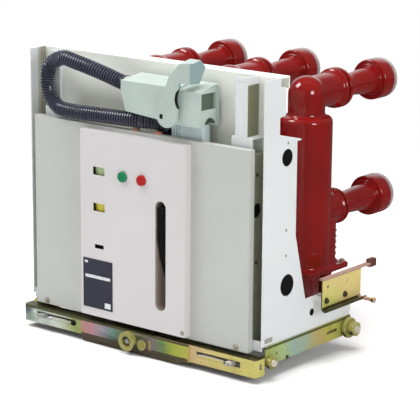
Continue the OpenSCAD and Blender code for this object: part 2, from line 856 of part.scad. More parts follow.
module crossbeam() {
    half = beam_w / 2;
    back = beam_y + beam_d;
    color(zinc_yellow) difference() {
        translate([0, 0, beam_z0]) linear_extrude(beam_z1 - beam_z0)
            beam_plan(half, beam_y, back, beam_round);
        translate([0, 0, beam_z0 + beam_t]) linear_extrude(beam_z1 - beam_z0 - 2 * beam_t)
            beam_plan(half - beam_t, beam_y + beam_t, back + eps, beam_round - beam_t);
        for (side = [-1, 1]) {
            side_block(side, beam_slot, [beam_y - eps, beam_y + beam_t + eps],
                [tongue_z - beam_slot_h / 2, tongue_z + beam_slot_h / 2]);
            side_block(side, [half - beam_t - eps, half + eps],
                [tongue_y - eps, tongue_y + tongue_t + eps],
                [tongue_z - tongue_h / 2 - eps, tongue_z + tongue_h / 2 + eps]);
        }
        bar_y(screw_x, screw_z, screw_r + screw_fit, beam_y - eps, back + eps);
    }
}

// Cover over the screw's end: its lower front edge is bevelled, one corner is cut off.
module racking_cover() {
    lo = cover_plate_lo;
    hi = cover_plate_hi;
    front = beam_y - cover_plate_d;
    color(zinc_yellow) {
        difference() {
            translate([lo[0], 0, 0]) rotate([90, 0, 90]) linear_extrude(hi[0] - lo[0])
                polygon([[beam_y, beam_z0], [cover_foot_y, beam_z0], [cover_foot_y, lo[1]],
                    [cover_foot_y - 4, lo[1]], [front, lo[1] + cover_bevel],
                    [front, hi[1] - 6], [front + 3, hi[1]], [beam_y, hi[1]]]);
            plate_y(front - eps, cover_foot_y - front + 2 * eps) polygon([[hi[0] - cover_cut[0], lo[1] - eps],
                [hi[0] + eps, lo[1] - eps], [hi[0] + eps, lo[1] + cover_cut[1]]]);
            block([lo[0] + beam_t, front + cover_sheet, lo[1] + cover_bevel],
                [hi[0] - beam_t, beam_y + eps, hi[1] - 6]);
            bar_y(screw_x, screw_z, ring_bore_r, front - eps, beam_y + eps);
            block([lock_gap_x[0], front - eps, lock_gap_z[0]],
                [lock_gap_x[1], beam_y + eps, lock_gap_z[1]]);
        }
        difference() {
            union() {
                bar_y(screw_x, screw_z, ring_r, front - ring_out, beam_y);
                bar_y(lock_x, lock_z, lock_r, front - lock_out, beam_y);
            }
            bar_y(screw_x, screw_z, ring_bore_r, front - ring_out - eps, beam_y + eps);
        }
    }
}

// Bars fixed inside the beam that slide in the two rails.
module guide_bars() {
    x = rail_out - rail_t - guide_fit;
    color(zinc_yellow) for (side = [-1, 1])
        side_block(side, [x - guide_t, x], [tongue_y + tongue_t + 2, guide_len],
            [rail_z0 + guide_fit, beam_z1 - beam_t]);
}

module racking_screw() {
    color(bright_steel) {
        bar_y(screw_x, screw_z, screw_r, beam_y, screw_end);
        translate([screw_x, beam_y, screw_z]) rotate([90, 0, 0])
            cylinder(r = hex_r, h = hex_len, $fn = 6);
    }
}

module lock_tongue(side) {
    half = beam_w / 2;
    color(bright_steel) {
        side_block(side, [knob_x - 75, half - 4], [tongue_y, tongue_y + tongue_t],
            [tongue_z - tongue_h / 2, tongue_z + tongue_h / 2]);
        side_block(side, [knob_x - 10, knob_x + 6], [beam_y - 12, tongue_y],
            [tongue_z - 4, tongue_z + 4]);
    }
}
module lock_tongue_left() lock_tongue(-1);
module lock_tongue_right() lock_tongue(1);

side_panel_left();
side_panel_right();
upper_beam();
rear_wall();
base_trough();
mechanism_housing();
upper_posts();
front_cover();
facia();
position_window();
spring_window();
counter_window();
nameplate();
socket_base();
plug_hood();
plug_latch();
corrugated_hose();
hose_gland();
pole_left();
pole_middle();
pole_right();
upper_sleeves();
lower_sleeves();
upper_contacts();
lower_contacts();
rail_left();
rail_right();
screw_tray();
wheel_front_left();
wheel_front_right();
wheel_rear_left();
wheel_rear_right();
shutter_bracket_left();
shutter_bracket_right();
crossbeam();
racking_cover();
guide_bars();
racking_screw();
lock_tongue_left();
lock_tongue_right();
close_button();
open_button();
charging_lever();
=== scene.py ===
"""Finishes the withdrawable circuit breaker: castings, hose, sheet metal, plug, contacts and fasteners."""
import json
import math

import bmesh
import bpy
from mathutils import Matrix, Vector


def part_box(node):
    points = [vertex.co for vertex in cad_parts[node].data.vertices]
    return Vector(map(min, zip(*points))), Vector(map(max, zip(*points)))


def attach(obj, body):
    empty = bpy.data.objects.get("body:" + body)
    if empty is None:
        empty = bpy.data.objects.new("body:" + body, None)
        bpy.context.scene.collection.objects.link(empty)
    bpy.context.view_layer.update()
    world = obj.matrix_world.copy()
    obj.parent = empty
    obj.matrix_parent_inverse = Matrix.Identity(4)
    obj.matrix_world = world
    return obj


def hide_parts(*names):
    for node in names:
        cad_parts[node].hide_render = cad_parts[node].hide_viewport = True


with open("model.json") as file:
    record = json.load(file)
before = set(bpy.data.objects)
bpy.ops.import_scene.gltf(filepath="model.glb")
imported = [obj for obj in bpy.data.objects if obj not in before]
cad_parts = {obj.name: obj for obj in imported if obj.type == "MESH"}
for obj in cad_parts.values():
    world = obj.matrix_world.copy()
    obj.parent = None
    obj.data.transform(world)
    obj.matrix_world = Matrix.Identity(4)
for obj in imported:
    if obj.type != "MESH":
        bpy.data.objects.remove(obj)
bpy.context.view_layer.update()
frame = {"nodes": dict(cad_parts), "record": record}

bl_info = {
    "name": "Withdrawable Circuit Breaker",
    "version": (1, 0, 0),
    "blender": (4, 5, 0),
    "location": "3D View > Sidebar > Breaker",
    "description": "Builds the castings, hose, plug, contacts, sheet metal and fasteners of a truck breaker",
    "category": "Add Mesh",
}

MM = 0.001
RECORD = frame["record"]
BODY_OF = {node: body for body, nodes in RECORD["behaviour"]["bodies"].items() for node in nodes}

LEFT, RIGHT = (-1.0, 0.0, 0.0), (1.0, 0.0, 0.0)
FRONT, BACK = (0.0, -1.0, 0.0), (0.0, 1.0, 0.0)
UP = (0.0, 0.0, 1.0)

# Edges that turn by more than this many degrees stay sharp in the shading and are rounded
SHARP = 34


def display(red, green, blue):
    """Linear colour from display values of 0 to 255."""
    values = (red / 255, green / 255, blue / 255)
    return tuple(v / 12.92 if v <= 0.04045 else ((v + 0.055) / 1.055) ** 2.4 for v in values)


def rgba(colour):
    """A colour with full opacity."""
    return (*tuple(colour)[:3], 1.0)


# Sizes and colours that a user would change


def length_property(name, description, default):
    """A property for a length in metres."""
    return bpy.props.FloatProperty(name=name, description=description, default=default, min=0.0,
        soft_max=1.0, unit="LENGTH", precision=4)


def angle_property(name, description, degrees):
    """A property for an angle, given in degrees."""
    return bpy.props.FloatProperty(name=name, description=description, default=math.radians(degrees),
        subtype="ANGLE")


def colour_property(name, description, *shown):
    """A property for a colour, given in display values."""
    return bpy.props.FloatVectorProperty(name=name, description=description, default=display(*shown),
        size=3, min=0.0, max=1.0, subtype="COLOR")


def number_property(name, description, default):
    """A property for a plain number."""
    return bpy.props.FloatProperty(name=name, description=description, default=default, min=0.0)


class BreakerFinishes(bpy.types.PropertyGroup):
    """Colours of the breaker's finishes."""

    frame_white: colour_property("Frame white", "Powder coat of the frame", 226, 229, 230)
    cover_grey: colour_property("Cover grey", "Powder coat of the front cover", 197, 199, 194)
    facia_white: colour_property("Facia white", "Coat of the raised facia", 216, 212, 213)
    housing_olive: colour_property("Housing", "Plated sheet of the mechanism housing", 164, 165, 140)
    resin_red: colour_property("Resin red", "Epoxy of the poles", 136, 18, 16)
    plug_green: colour_property("Plug green", "Moulded plastic of the plug", 188, 203, 196)
    socket_blue: colour_property("Socket blue", "Moulded plastic of the socket", 226, 243, 245)
    # The hose's colour on its crests, paler as a painted highlight
    hose_black: colour_property("Hose black", "Plastic of the hose", 80, 82, 100)
    plate_blue: colour_property("Plate blue", "Coat of the data plate", 58, 60, 74)


class BreakerSizes(bpy.types.PropertyGroup):
    """Sizes of the breaker's details."""

    sheet_edge: length_property("Sheet edge", "Radius on the edges of folded sheet", 0.8 * MM)
    plastic_edge: length_property("Plastic edge", "Radius on the edges of moulded plastic", 2.0 * MM)
    resin_voxel: length_property("Resin detail", "Cell size of the cast resin's surface", 2.6 * MM)
    hose_radius: length_property("Hose radius", "Outer radius of the corrugated hose", 16.4 * MM)
    hose_pitch: length_property("Hose pitch", "Distance between two ribs of the hose", 6.4 * MM)
    hose_groove: length_property("Hose groove", "Depth of the hose's grooves", 3.4 * MM)
    finger_count: bpy.props.IntProperty(name="Contact fingers", description="Fingers in one tulip contact",
        default=24, min=8, max=40)
    thread_pitch: length_property("Thread pitch", "Lead of the racking screw's thread", 5.0 * MM)


class BreakerStage(bpy.types.PropertyGroup):
    """Camera and light."""

    azimuth: angle_property("Azimuth", "Camera's turn to the right of the front", 38.52)
    elevation: angle_property("Elevation", "Camera's height above the horizon", 13.69)
    roll: angle_property("Roll", "Camera's turn about its own axis", 0.45)
    distance: length_property("Distance", "Distance from the camera to its target", 4.305)
    target: bpy.props.FloatVectorProperty(name="Target", description="Point the camera looks at",
        default=(-0.045, 0.300, 0.251), size=3, subtype="TRANSLATION", unit="LENGTH")
    lens: number_property("Lens", "Focal length in millimetres", 164.66)
    front_power: number_property("Front lamp", "Power of the lamp in front, in watts", 96.0)
    side_power: number_property("Side lamp", "Power of the lamp on the right, in watts", 48.0)
    top_power: number_property("Top lamp", "Power of the lamp above, in watts", 130.0)
    sky: number_property("Sky", "Strength of the even light from all sides", 0.38)
    mirror_sky: number_property("Mirrored sky", "Brightness of the surroundings in a reflection", 0.15)
    mirror_floor: number_property("Mirrored floor", "Brightness of the floor in a reflection", 0.1)
    floor_lift: number_property("Floor lift", "How much paler the floor looks to the camera", 1.3)


# Node trees

FLOAT, COLOUR, VECTOR = "NodeSocketFloat", "NodeSocketColor", "NodeSocketVector"
GEOMETRY, MATERIAL, OBJECT = "NodeSocketGeometry", "NodeSocketMaterial", "NodeSocketObject"


class Net:
    """Adds nodes to a tree and joins their sockets."""

    def __init__(self, tree):
        self.tree = tree

    def join(self, source, target):
        """A link between two sockets."""
        self.tree.links.new(source, target)

    def add(self, kind, inputs=None, **props):
        """A new node; an input's value is a number, a colour or another node's socket."""
        node = self.tree.nodes.new(kind)
        for key, value in props.items():
            setattr(node, key, value)
        for key, value in (inputs or {}).items():
            if isinstance(value, bpy.types.NodeSocket):
                self.join(value, node.inputs[key])
            else:
                node.inputs[key].default_value = value
        return node

    def place(self):
        """The place on the object."""
        return self.add("ShaderNodeTexCoord").outputs["Object"]

    def normal(self):
        """The way that the surface faces."""
        return self.add("ShaderNodeNewGeometry").outputs["Normal"]

    def upward(self):
        """How far the surface looks up, from -1 to 1."""
        return self.add("ShaderNodeSeparateXYZ", {0: self.normal()}).outputs["Z"]

    def math(self, operation, a, b=0.0, clamp=False):
        """The result of a sum on two values."""
        kind = "ShaderNodeMath"
        return self.add(kind, {0: a, 1: b}, operation=operation, use_clamp=clamp).outputs[0]

    def product(self, first, *others):
        """The product of some masks."""
        for other in others:
            first = self.math("MULTIPLY", first, other, True)
        return first

    def dot(self, a, b):
        """How far two directions agree."""
        return self.add("ShaderNodeVectorMath", {0: a, 1: b}, operation="DOT_PRODUCT").outputs["Value"]

    def spread(self, value, low, high, out_low=0.0, out_high=1.0):
        """A value's range from low to high, stretched over another range and clamped."""
        return self.add("ShaderNodeMapRange", {"Value": value, "From Min": low, "From Max": high,
            "To Min": out_low, "To Max": out_high}).outputs["Result"]

    def mix(self, factor, a, b, blend="MIX"):
        """Two colours mixed."""
        node = self.add("ShaderNodeMix", {0: factor, 6: a, 7: b}, data_type="RGBA", blend_type=blend)
        return node.outputs[2]

    def noise(self, vector, scale, detail=2.0, distortion=0.0):
        """Values of a cloudy pattern."""
        return self.add("ShaderNodeTexNoise", {"Vector": vector, "Scale": scale, "Detail": detail,
            "Distortion": distortion}).outputs["Fac"]

    def ramp(self, value, stops):
        """A colour read from stops, each a place and a colour in display values."""
        node = self.add("ShaderNodeValToRGB", {"Fac": value})
        row = node.color_ramp
        while len(row.elements) < len(stops):
            row.elements.new(0.5)
        for element, (place, *shown) in zip(row.elements, stops):
            element.position = place
            element.color = rgba(display(*shown))
        return node.outputs["Color"]


def new_tree(name, kind, sockets_in, sockets_out):
    """An empty tree with named sockets: its net, its inputs and its outputs."""
    tree = bpy.data.node_groups.new(name, kind)
    for label, socket_type, default in sockets_in:
        socket = tree.interface.new_socket(label, in_out="INPUT", socket_type=socket_type)
        if default is not None:
            socket.default_value = default
    for label, socket_type in sockets_out:
        tree.interface.new_socket(label, in_out="OUTPUT", socket_type=socket_type)
    net = Net(tree)
    return net, net.add("NodeGroupInput").outputs, net.add("NodeGroupOutput").inputs


def make_mottle():
    """Slow change of tone and gloss with a fine grain on top."""
    net, given, out = new_tree("mottle", "ShaderNodeTree",
        [("Colour", COLOUR, (0.8, 0.8, 0.8, 1.0)), ("Shade", COLOUR, (0.7, 0.7, 0.7, 1.0)),
            ("Patch Scale", FLOAT, 6.0), ("Grain Scale", FLOAT, 900.0), ("Grain Contrast", FLOAT, 0.05),
            ("Gloss Low", FLOAT, 0.3), ("Gloss High", FLOAT, 0.5)],
        [("Colour", COLOUR), ("Roughness", FLOAT), ("Height", FLOAT)])
    place = net.place()
    patch = net.noise(place, given["Patch Scale"], 3.0, 0.6)
    grain = net.noise(place, given["Grain Scale"], 2.0)
    speckle = net.math("MULTIPLY", net.math("SUBTRACT", grain, 0.5), given["Grain Contrast"])
    tone = net.math("ADD", net.spread(patch, 0.35, 0.65), speckle, True)
    net.join(net.mix(tone, given["Colour"], given["Shade"]), out["Colour"])
    level = net.math("MULTIPLY", net.math("ADD", patch, grain), 0.5)
    net.join(net.spread(level, 0.35, 0.65, given["Gloss Low"], given["Gloss High"]), out["Roughness"])
    net.join(grain, out["Height"])
    return net.tree


def make_edge_wear():
    """A mask of rubbed edges, broken up by a fine pattern."""
    net, given, out = new_tree("edge_wear", "ShaderNodeTree",
        [("Width", FLOAT, 0.0015), ("Amount", FLOAT, 0.5), ("Break Scale", FLOAT, 140.0)],
        [("Mask", FLOAT)])
    eased = net.add("ShaderNodeBevel", {"Radius": given["Width"]}, samples=4).outputs["Normal"]
    edge = net.spread(net.dot(eased, net.normal()), 0.995, 0.88)
    broken = net.spread(net.noise(net.place(), given["Break Scale"], 4.0), 0.42, 0.62)
    net.join(net.product(edge, broken, given["Amount"]), out["Mask"])
    return net.tree


def make_dust():
    """A mask of dust that settles on faces that look up."""
    net, given, out = new_tree("settled_dust", "ShaderNodeTree",
        [("Amount", FLOAT, 0.3), ("Scale", FLOAT, 60.0)], [("Mask", FLOAT)])
    level = net.spread(net.upward(), 0.3, 1.0)
    broken = net.spread(net.noise(net.place(), given["Scale"], 4.0), 0.3, 0.75)
    net.join(net.product(level, broken, given["Amount"]), out["Mask"])
    return net.tree


def make_passivation():
    """How far along a piece the tints have run, with streaks, a fine grain and a mask of painted shade on
    faces that look down.
    """
    net, given, out = new_tree("passivation", "ShaderNodeTree",
        [("Along", VECTOR, (1.0, 0.0, 0.0)), ("Phase", FLOAT, 0.1), ("Drift", FLOAT, 0.4),
            ("Drift Scale", FLOAT, 9.0)],
        [("Run", FLOAT), ("Streak", FLOAT), ("Shade Below", FLOAT), ("Roughness", FLOAT), ("Height", FLOAT)])
    place = net.place()
    cloud = net.noise(place, given["Drift Scale"], 3.0, 1.2)
    wander = net.math("MULTIPLY", net.math("SUBTRACT", cloud, 0.5), given["Drift"])
    phase = net.math("ADD", net.math("ADD", net.dot(place, given["Along"]), given["Phase"]), wander)
    net.join(net.math("PINGPONG", phase, 1.0), out["Run"])
    drawn = net.add("ShaderNodeMapping", {"Vector": place, "Scale": (30.0, 400.0, 400.0)}).outputs[0]
    brushed = net.noise(drawn, 1.0, 3.0)
    grain = net.noise(place, 700.0, 2.0)
    net.join(net.spread(brushed, 0.35, 0.8, 0.0, 0.35), out["Streak"])
    net.join(net.spread(net.upward(), -0.08, -0.3), out["Shade Below"])
    net.join(net.spread(net.math("ADD", brushed, grain), 0.6, 1.4, 0.2, 0.42), out["Roughness"])
    height = net.math("ADD", net.math("MULTIPLY", brushed, 0.6), net.math("MULTIPLY", grain, 0.4))
    net.join(height, out["Height"])
    return net.tree


def close_tree(net, given, out, geometry):
    """Ends a geometry tree in real geometry with its material."""
    solid = net.add("GeometryNodeRealizeInstances", {0: geometry}).outputs[0]
    dressed = net.add("GeometryNodeSetMaterial", {"Geometry": solid, "Material": given["Material"]})
    net.join(dressed.outputs[0], out[0])
    return net.tree


def geometry_tree(name, *sockets):
    """An empty geometry tree that takes some values and a material."""
    inputs = [("Geometry", GEOMETRY, None), *sockets, ("Material", MATERIAL, None)]
    return new_tree(name, "GeometryNodeTree", inputs, [("Geometry", GEOMETRY)])


def make_hose_tree():
    """Ribs at a fixed pitch along a path, with their crests marked on the surface for a painted highlight."""
    net, given, out = geometry_tree("ribbed_hose", ("Radius", FLOAT, 0.016), ("Pitch", FLOAT, 0.0046),
        ("Groove", FLOAT, 0.002))
    path = net.add("GeometryNodeMeshToCurve", {0: given["Geometry"]}).outputs[0]
    quarter = net.math("DIVIDE", given["Pitch"], 4.0)
    path = net.add("GeometryNodeResampleCurve", {"Curve": path, "Length": quarter}, mode="LENGTH").outputs[0]
    step = net.math("MODULO", net.add("GeometryNodeInputIndex").outputs[0], 4.0)
    trough = net.math("GREATER_THAN", step, 1.5)
    depth = net.math("DIVIDE", given["Groove"], given["Radius"])
    scale = net.math("SUBTRACT", 1.0, net.math("MULTIPLY", trough, depth))
    path = net.add("GeometryNodeStoreNamedAttribute", {"Geometry": path, "Name": "rib",
        "Value": net.math("SUBTRACT", 1.0, trough)}, data_type="FLOAT", domain="POINT").outputs[0]
    ring = net.add("GeometryNodeCurvePrimitiveCircle", {"Resolution": 28, "Radius": given["Radius"]})
    tube = net.add("GeometryNodeCurveToMesh", {"Curve": path, "Profile Curve": ring.outputs[0],
        "Scale": scale, "Fill Caps": True}).outputs[0]
    return close_tree(net, given, out, tube)


def make_scatter_tree():
    """One part on each point, its top turned to the point's facing."""
    net, given, out = geometry_tree("part_on_points", ("Part", OBJECT, None))
    part = net.add("GeometryNodeObjectInfo", {"Object": given["Part"]}).outputs["Geometry"]
    facing = net.add("GeometryNodeInputNamedAttribute", {"Name": "facing"}, data_type="FLOAT_VECTOR")
    turn = net.add("FunctionNodeAlignRotationToVector", {"Vector": facing.outputs[0]}, axis="Z")
    size = net.add("GeometryNodeInputNamedAttribute", {"Name": "size"}, data_type="FLOAT")
    placed = net.add("GeometryNodeInstanceOnPoints", {"Points": given["Geometry"], "Instance": part,
        "Rotation": turn.outputs[0], "Scale": size.outputs[0]}).outputs[0]
    return close_tree(net, given, out, placed)


def make_ring_tree():
    """One part repeated at equal turns about the axis along +Y, on every point."""
    net, given, out = geometry_tree("part_in_ring", ("Part", OBJECT, None), ("Count", "NodeSocketInt", 24))
    part = net.add("GeometryNodeObjectInfo", {"Object": given["Part"]}).outputs["Geometry"]
    dots = net.add("GeometryNodePoints", {"Count": given["Count"]}).outputs[0]
    share = net.math("DIVIDE", net.add("GeometryNodeInputIndex").outputs[0], given["Count"])
    turn = net.add("ShaderNodeCombineXYZ", {"Y": net.math("MULTIPLY", share, 2 * math.pi)}).outputs[0]
    ring = net.add("GeometryNodeInstanceOnPoints", {"Points": dots, "Instance": part, "Rotation": turn})
    rings = net.add("GeometryNodeInstanceOnPoints", {"Points": given["Geometry"],
        "Instance": ring.outputs[0]}).outputs[0]
    return close_tree(net, given, out, rings)


TREES = {"mottle": make_mottle, "edge_wear": make_edge_wear, "settled_dust": make_dust,
    "passivation": make_passivation, "ribbed_hose": make_hose_tree, "part_on_points": make_scatter_tree,
    "part_in_ring": make_ring_tree}


def shared_tree(name):
    """A tree by name, made on first use."""
    return bpy.data.node_groups.get(name) or TREES[name]()


# Finishes

DUST = display(176, 170, 158)
BARE_STEEL = (0.45, 0.44, 0.42)
BARE_ZINC = display(226, 222, 200)
ZINC_STREAK = display(120, 118, 74)
# Painted shade: the tone that zinc takes on faces that look down
ZINC_UNDER_SHADE = display(92, 84, 66)

# Tints of the passivated zinc: how far along a piece, and the tint in display values
PASSIVATION = [(0.0, 150, 148, 84), (0.16, 206, 194, 106), (0.3, 200, 172, 118), (0.42, 178, 150, 150),
    (0.54, 132, 146, 142), (0.68, 146, 166, 116), (0.84, 198, 194, 104), (1.0, 208, 186, 104)]
BEAM_TINTS = [(0.0, 160, 176, 160), (0.06, 226, 238, 228), (0.15, 230, 238, 224), (0.23, 190, 204, 146),
    (0.3, 184, 188, 84), (0.72, 230, 198, 152), (0.84, 234, 216, 138), (1.0, 228, 218, 126)]
COVER_TINTS = [(0.0, 200, 156, 140), (0.1, 214, 156, 164), (0.2, 176, 170, 188), (0.29, 122, 158, 148),
    (0.4, 112, 122, 84), (0.56, 96, 94, 62), (0.68, 138, 124, 132), (0.79, 122, 152, 92),
    (0.9, 186, 194, 80), (1.0, 208, 204, 96)]
RAIL_TINTS = [(0.0, 206, 208, 124), (0.14, 190, 200, 112), (0.3, 190, 212, 150), (0.46, 172, 200, 190),
    (0.6, 190, 198, 154), (0.72, 212, 190, 126), (0.86, 206, 200, 96), (1.0, 150, 158, 84)]
BRACKET_TINTS = [(0.0, 240, 226, 126), (0.35, 240, 216, 144), (0.7, 222, 222, 118), (1.0, 206, 208, 96)]
RIM_TINTS = [(0.0, 222, 216, 126), (0.5, 186, 180, 94), (1.0, 140, 136, 68)]
DARK_TINTS = [(0.0, 84, 80, 42), (1.0, 58, 52, 36)]

# Bands of another tone: bounds on some axes in metres, the tone, and how soft their edges are
# Painted shade on the left side panel's inner face near the front, darker further back
PANEL_PAINTED_SHADE = [({"X": (-0.3185, -0.3085), "Y": (start, 0.0605), "Z": (0.47, 1.0)}, tone, 0.001)
    for start, tone in ((0.036, display(186, 188, 180)), (0.044, display(158, 154, 136)))]
# Painted shade on the outer side faces of the upper posts, between the posts and the side panels
POST_PAINTED_SHADE = [({"X": side, "Y": (0.0255, 1.0), "Z": (0.501, 0.606)}, display(126, 126, 96))
    for side in ((0.2672, 0.2688), (-0.2688, -0.2672))]
CUP_BANDS = [({"Y": (0.5775, 1.0)}, display(150, 138, 144))]
# Painted shadow of the front cover on the crossbeam: over its left end and as a dark line along its top
BEAM_PAINTED_SHADOW = [({"X": (-1.0, -0.301), "Z": (0.031, 1.0)}, display(104, 112, 118), 0.007),
    ({"X": (-1.0, 0.06), "Z": (0.0445, 1.0)}, display(88, 92, 62), 0.002)]
# Painted shade along the racking cover's top, under the front cover
COVER_PAINTED_SHADE = [({"Z": (0.0465, 1.0)}, display(92, 84, 54))]
# Painted shadow along the rails' top, under the side panels
RAIL_PAINTED_SHADOW = [({"Z": (0.0655, 0.0705)}, display(92, 90, 46))]
BRACKET_BANDS = [({"X": (-0.3435, 0.3435)}, display(222, 224, 224)),
    ({"Z": (0.1795, 1.0), "Y": (0.0, 0.3635)}, display(186, 150, 134)),
    ({"Z": (0.17, 1.0), "Y": (0.3635, 1.0)}, display(108, 60, 54)),
    ({"Z": (0.112, 0.1225), "Y": (0.3165, 0.3255)}, display(196, 152, 140))]

# Surfaces: the grain's scale, the grain's depth in metres, and the scale of slow patches
PAINT = (900.0, 0.00004, 5.0)
MOULDING = (1200.0, 0.00003, 14.0)
MATT_MOULDING = (1200.0, 0.00003, 16.0)
CAP = (1200.0, 0.00002, 30.0)
FLAG = (900.0, 0.00002, 40.0)
METAL = (500.0, 0.00002, 24.0)

# Each plating: the way its tints run, their phase, its tints, how far and how finely they drift
PLATINGS = {
    "zinc_beam": ((1.54, 0.0, 0.0), 0.5, BEAM_TINTS, 0.14, 16.0, {"bands": BEAM_PAINTED_SHADOW}),
    "zinc_cover": ((3.34, 0.0, 0.0), 0.5, COVER_TINTS, 0.12, 14.0, {"bands": COVER_PAINTED_SHADE}),
    "zinc_rail": ((0.0, 3.1, 1.2), 0.0, RAIL_TINTS, 0.3, 12.0, {"bands": RAIL_PAINTED_SHADOW}),
    "zinc_bracket": ((0.0, 3.0, 4.0), 0.2, BRACKET_TINTS, 0.5, 14.0,
        {"metallic": 0.1, "bands": BRACKET_BANDS}),
    # Darker zinc: painted shade on the crossbeam's top and on the brackets' gutters; the rail nuts and
    # bracket bolts take it too
    "zinc_dark": ((0.0, 0.3, 0.5), 0.0, DARK_TINTS, 0.6, 20.0, {"metallic": 0.5}),
    # On the wheels and the lock ring the wide bright rubbed edges are wear and painted highlight
    "zinc_rim": ((3.0, 1.0, 6.0), 0.2, RIM_TINTS, 0.5, 20.0, {"wear": 2.5, "metallic": 0.4, "rim": 0.003}),
    "zinc_small": ((2.0, 1.0, 3.0), 0.2, PASSIVATION, 0.4, 20.0, {}),
    "zinc_inner": ((0.6, 0.4, 0.5), 0.0, PASSIVATION, 0.35, 9.0, {}),
}


def coats(looks):
    """Each coat: its colour, how far its patches darken, its gloss, its surface and what else it has."""
    satin, fresh, matt = (0.36, 0.5), (0.28, 0.42), (0.4, 0.5)
    plug = {"dust": 0.08, "Coat_Weight": 0.15, "Coat_Roughness": 0.2}
    return {
        "frame_coat": (looks.frame_white, 0.95, satin, PAINT,
            {"wear": 0.35, "dust": 0.12, "bands": PANEL_PAINTED_SHADE}),
        # The upper beam is paler than the frame white, as painted light against the shade of the plug's hood
        # and the hose
        "beam_coat_painted_light": (display(246, 248, 240), 0.97, satin, PAINT, {"wear": 0.35, "dust": 0.12}),
        "post_coat": (looks.frame_white, 0.95, satin, PAINT,
            {"wear": 0.35, "dust": 0.12, "bands": POST_PAINTED_SHADE}),
        "cover_coat": (looks.cover_grey, 0.95, satin, PAINT, {"wear": 0.25, "dust": 0.1}),
        "facia_coat": (looks.facia_white, 0.97, (0.32, 0.42), PAINT, {"wear": 0.2, "dust": 0.06}),
        "housing_zinc": (looks.housing_olive, 0.8, (0.35, 0.55), (300.0, 0.00003, 12.0),
            {"wear": 0.3, "dust": 0.2, "Metallic": 0.1}),
        "resin": (looks.resin_red, 0.8, (0.1, 0.16), (200.0, 0.00001, 7.0),
            {"bands": CUP_BANDS, "Coat_Weight": 0.5, "Coat_Roughness": 0.06}),
        "plug_moulding": (looks.plug_green, 0.93, fresh, MOULDING, plug),
        "latch_moulding": ([c * 0.94 for c in looks.plug_green], 0.9, fresh, MOULDING, plug),
        # Painted shade on the latch horn's right side
        "horn_shaded_moulding": (display(142, 168, 168), 0.9, fresh, MOULDING, {}),
        # Painted shade in the hood's recess
        "recess_shaded_moulding": (display(92, 106, 92), 0.9, matt, MATT_MOULDING, {}),
        "slot_liner": (display(176, 162, 150), 0.85, matt, (700.0, 0.00003, 16.0), {}),
        "socket_moulding": (looks.socket_blue, 0.9, (0.3, 0.45), MATT_MOULDING, {}),
        # The hose's paler crests are painted highlight and its darker grooves painted shade
        "hose_plastic": (looks.hose_black, 0.7, (0.2, 0.3), (700.0, 0.00001, 30.0),
            {"trough": [c * 0.3 for c in looks.hose_black], "Coat_Weight": 1.0, "Coat_Roughness": 0.12}),
        "plate_coat": (looks.plate_blue, 0.88, (0.3, 0.42), (1500.0, 0.00001, 30.0), {}),
        "plate_field": (display(226, 228, 232), 0.94, matt, (1500.0, 0.00001, 40.0), {}),
        "black_plastic": (display(20, 21, 21), 0.7, (0.34, 0.5), (800.0, 0.00005, 20.0),
            {"dust": 0.02, "Specular_IOR_Level": 0.25}),
        "grey_rubber": (display(166, 164, 156), 0.8, (0.5, 0.65), (600.0, 0.00006, 18.0), {}),
        "pale_rubber": (display(178, 164, 158), 0.85, (0.45, 0.6), (600.0, 0.00005, 18.0), {}),
        "green_cap": (display(22, 132, 84), 0.86, (0.2, 0.32), CAP, {"Coat_Weight": 0.1}),
        "red_cap": (display(186, 24, 28), 0.86, (0.2, 0.32), CAP, {"Coat_Weight": 0.1}),
        "green_flag": (display(206, 234, 174), 0.85, (0.4, 0.55), FLAG, {}),
        "yellow_flag": (display(244, 232, 82), 0.88, (0.4, 0.55), FLAG, {}),
        "silver": (display(214, 208, 198), 0.8, (0.24, 0.42), METAL, {"Metallic": 1.0}),
        "steel": (display(214, 214, 210), 0.8, (0.2, 0.38), METAL, {"Metallic": 0.5}),
        "dull_steel": (display(188, 184, 164), 0.8, (0.35, 0.5), METAL, {"Metallic": 0.4}),
        "dark_steel": (display(92, 84, 74), 0.8, (0.35, 0.55), METAL, {"Metallic": 0.8}),
        "copper": (display(226, 152, 130), 0.8, (0.28, 0.45), METAL, {"Metallic": 0.3}),
        "zinc_bright": (display(240, 230, 218), 0.9, (0.2, 0.4), (700.0, 0.00003, 30.0), {"Metallic": 0.3}),
    }


def new_material(name):
    """An empty material with its net and its main shader."""
    material = bpy.data.materials.new(name)
    material.use_nodes = True
    return material, Net(material.node_tree), material.node_tree.nodes["Principled BSDF"]


def set_sockets(shader, values):
    """Constants on a shader's own sockets, whose names have _ for a space."""
    for key, value in values.items():
        shader.inputs[key.replace("_", " ")].default_value = value


def place_group(net, name, **values):
    """A shared group in a material, with its own values."""
    inputs = {key.replace("_", " "): value for key, value in values.items()}
    return net.add("ShaderNodeGroup", inputs, node_tree=shared_tree(name)).outputs


def join_surface(net, shader, colour, group, depth):
    """Feeds a shader its colour, and its roughness and bump from a group."""
    bump = net.add("ShaderNodeBump", {"Height": group["Height"], "Distance": depth, "Strength": 1.0})
    net.join(colour, shader.inputs["Base Color"])
    net.join(group["Roughness"], shader.inputs["Roughness"])
    net.join(bump.outputs["Normal"], shader.inputs["Normal"])


def banded(net, tone, bands):
    """A tone with bands of other tones over it."""
    for bounds, other, *softness in bands:
        soft = softness[0] if softness else 0.0006
        parts = net.add("ShaderNodeSeparateXYZ", {0: net.place()}).outputs
        sides = []
        for axis, (low, high) in bounds.items():
            sides += [net.spread(parts[axis], low - soft, low + soft),
                net.spread(parts[axis], high + soft, high - soft)]
        tone = net.mix(net.product(*sides), tone, rgba(other))
    return tone


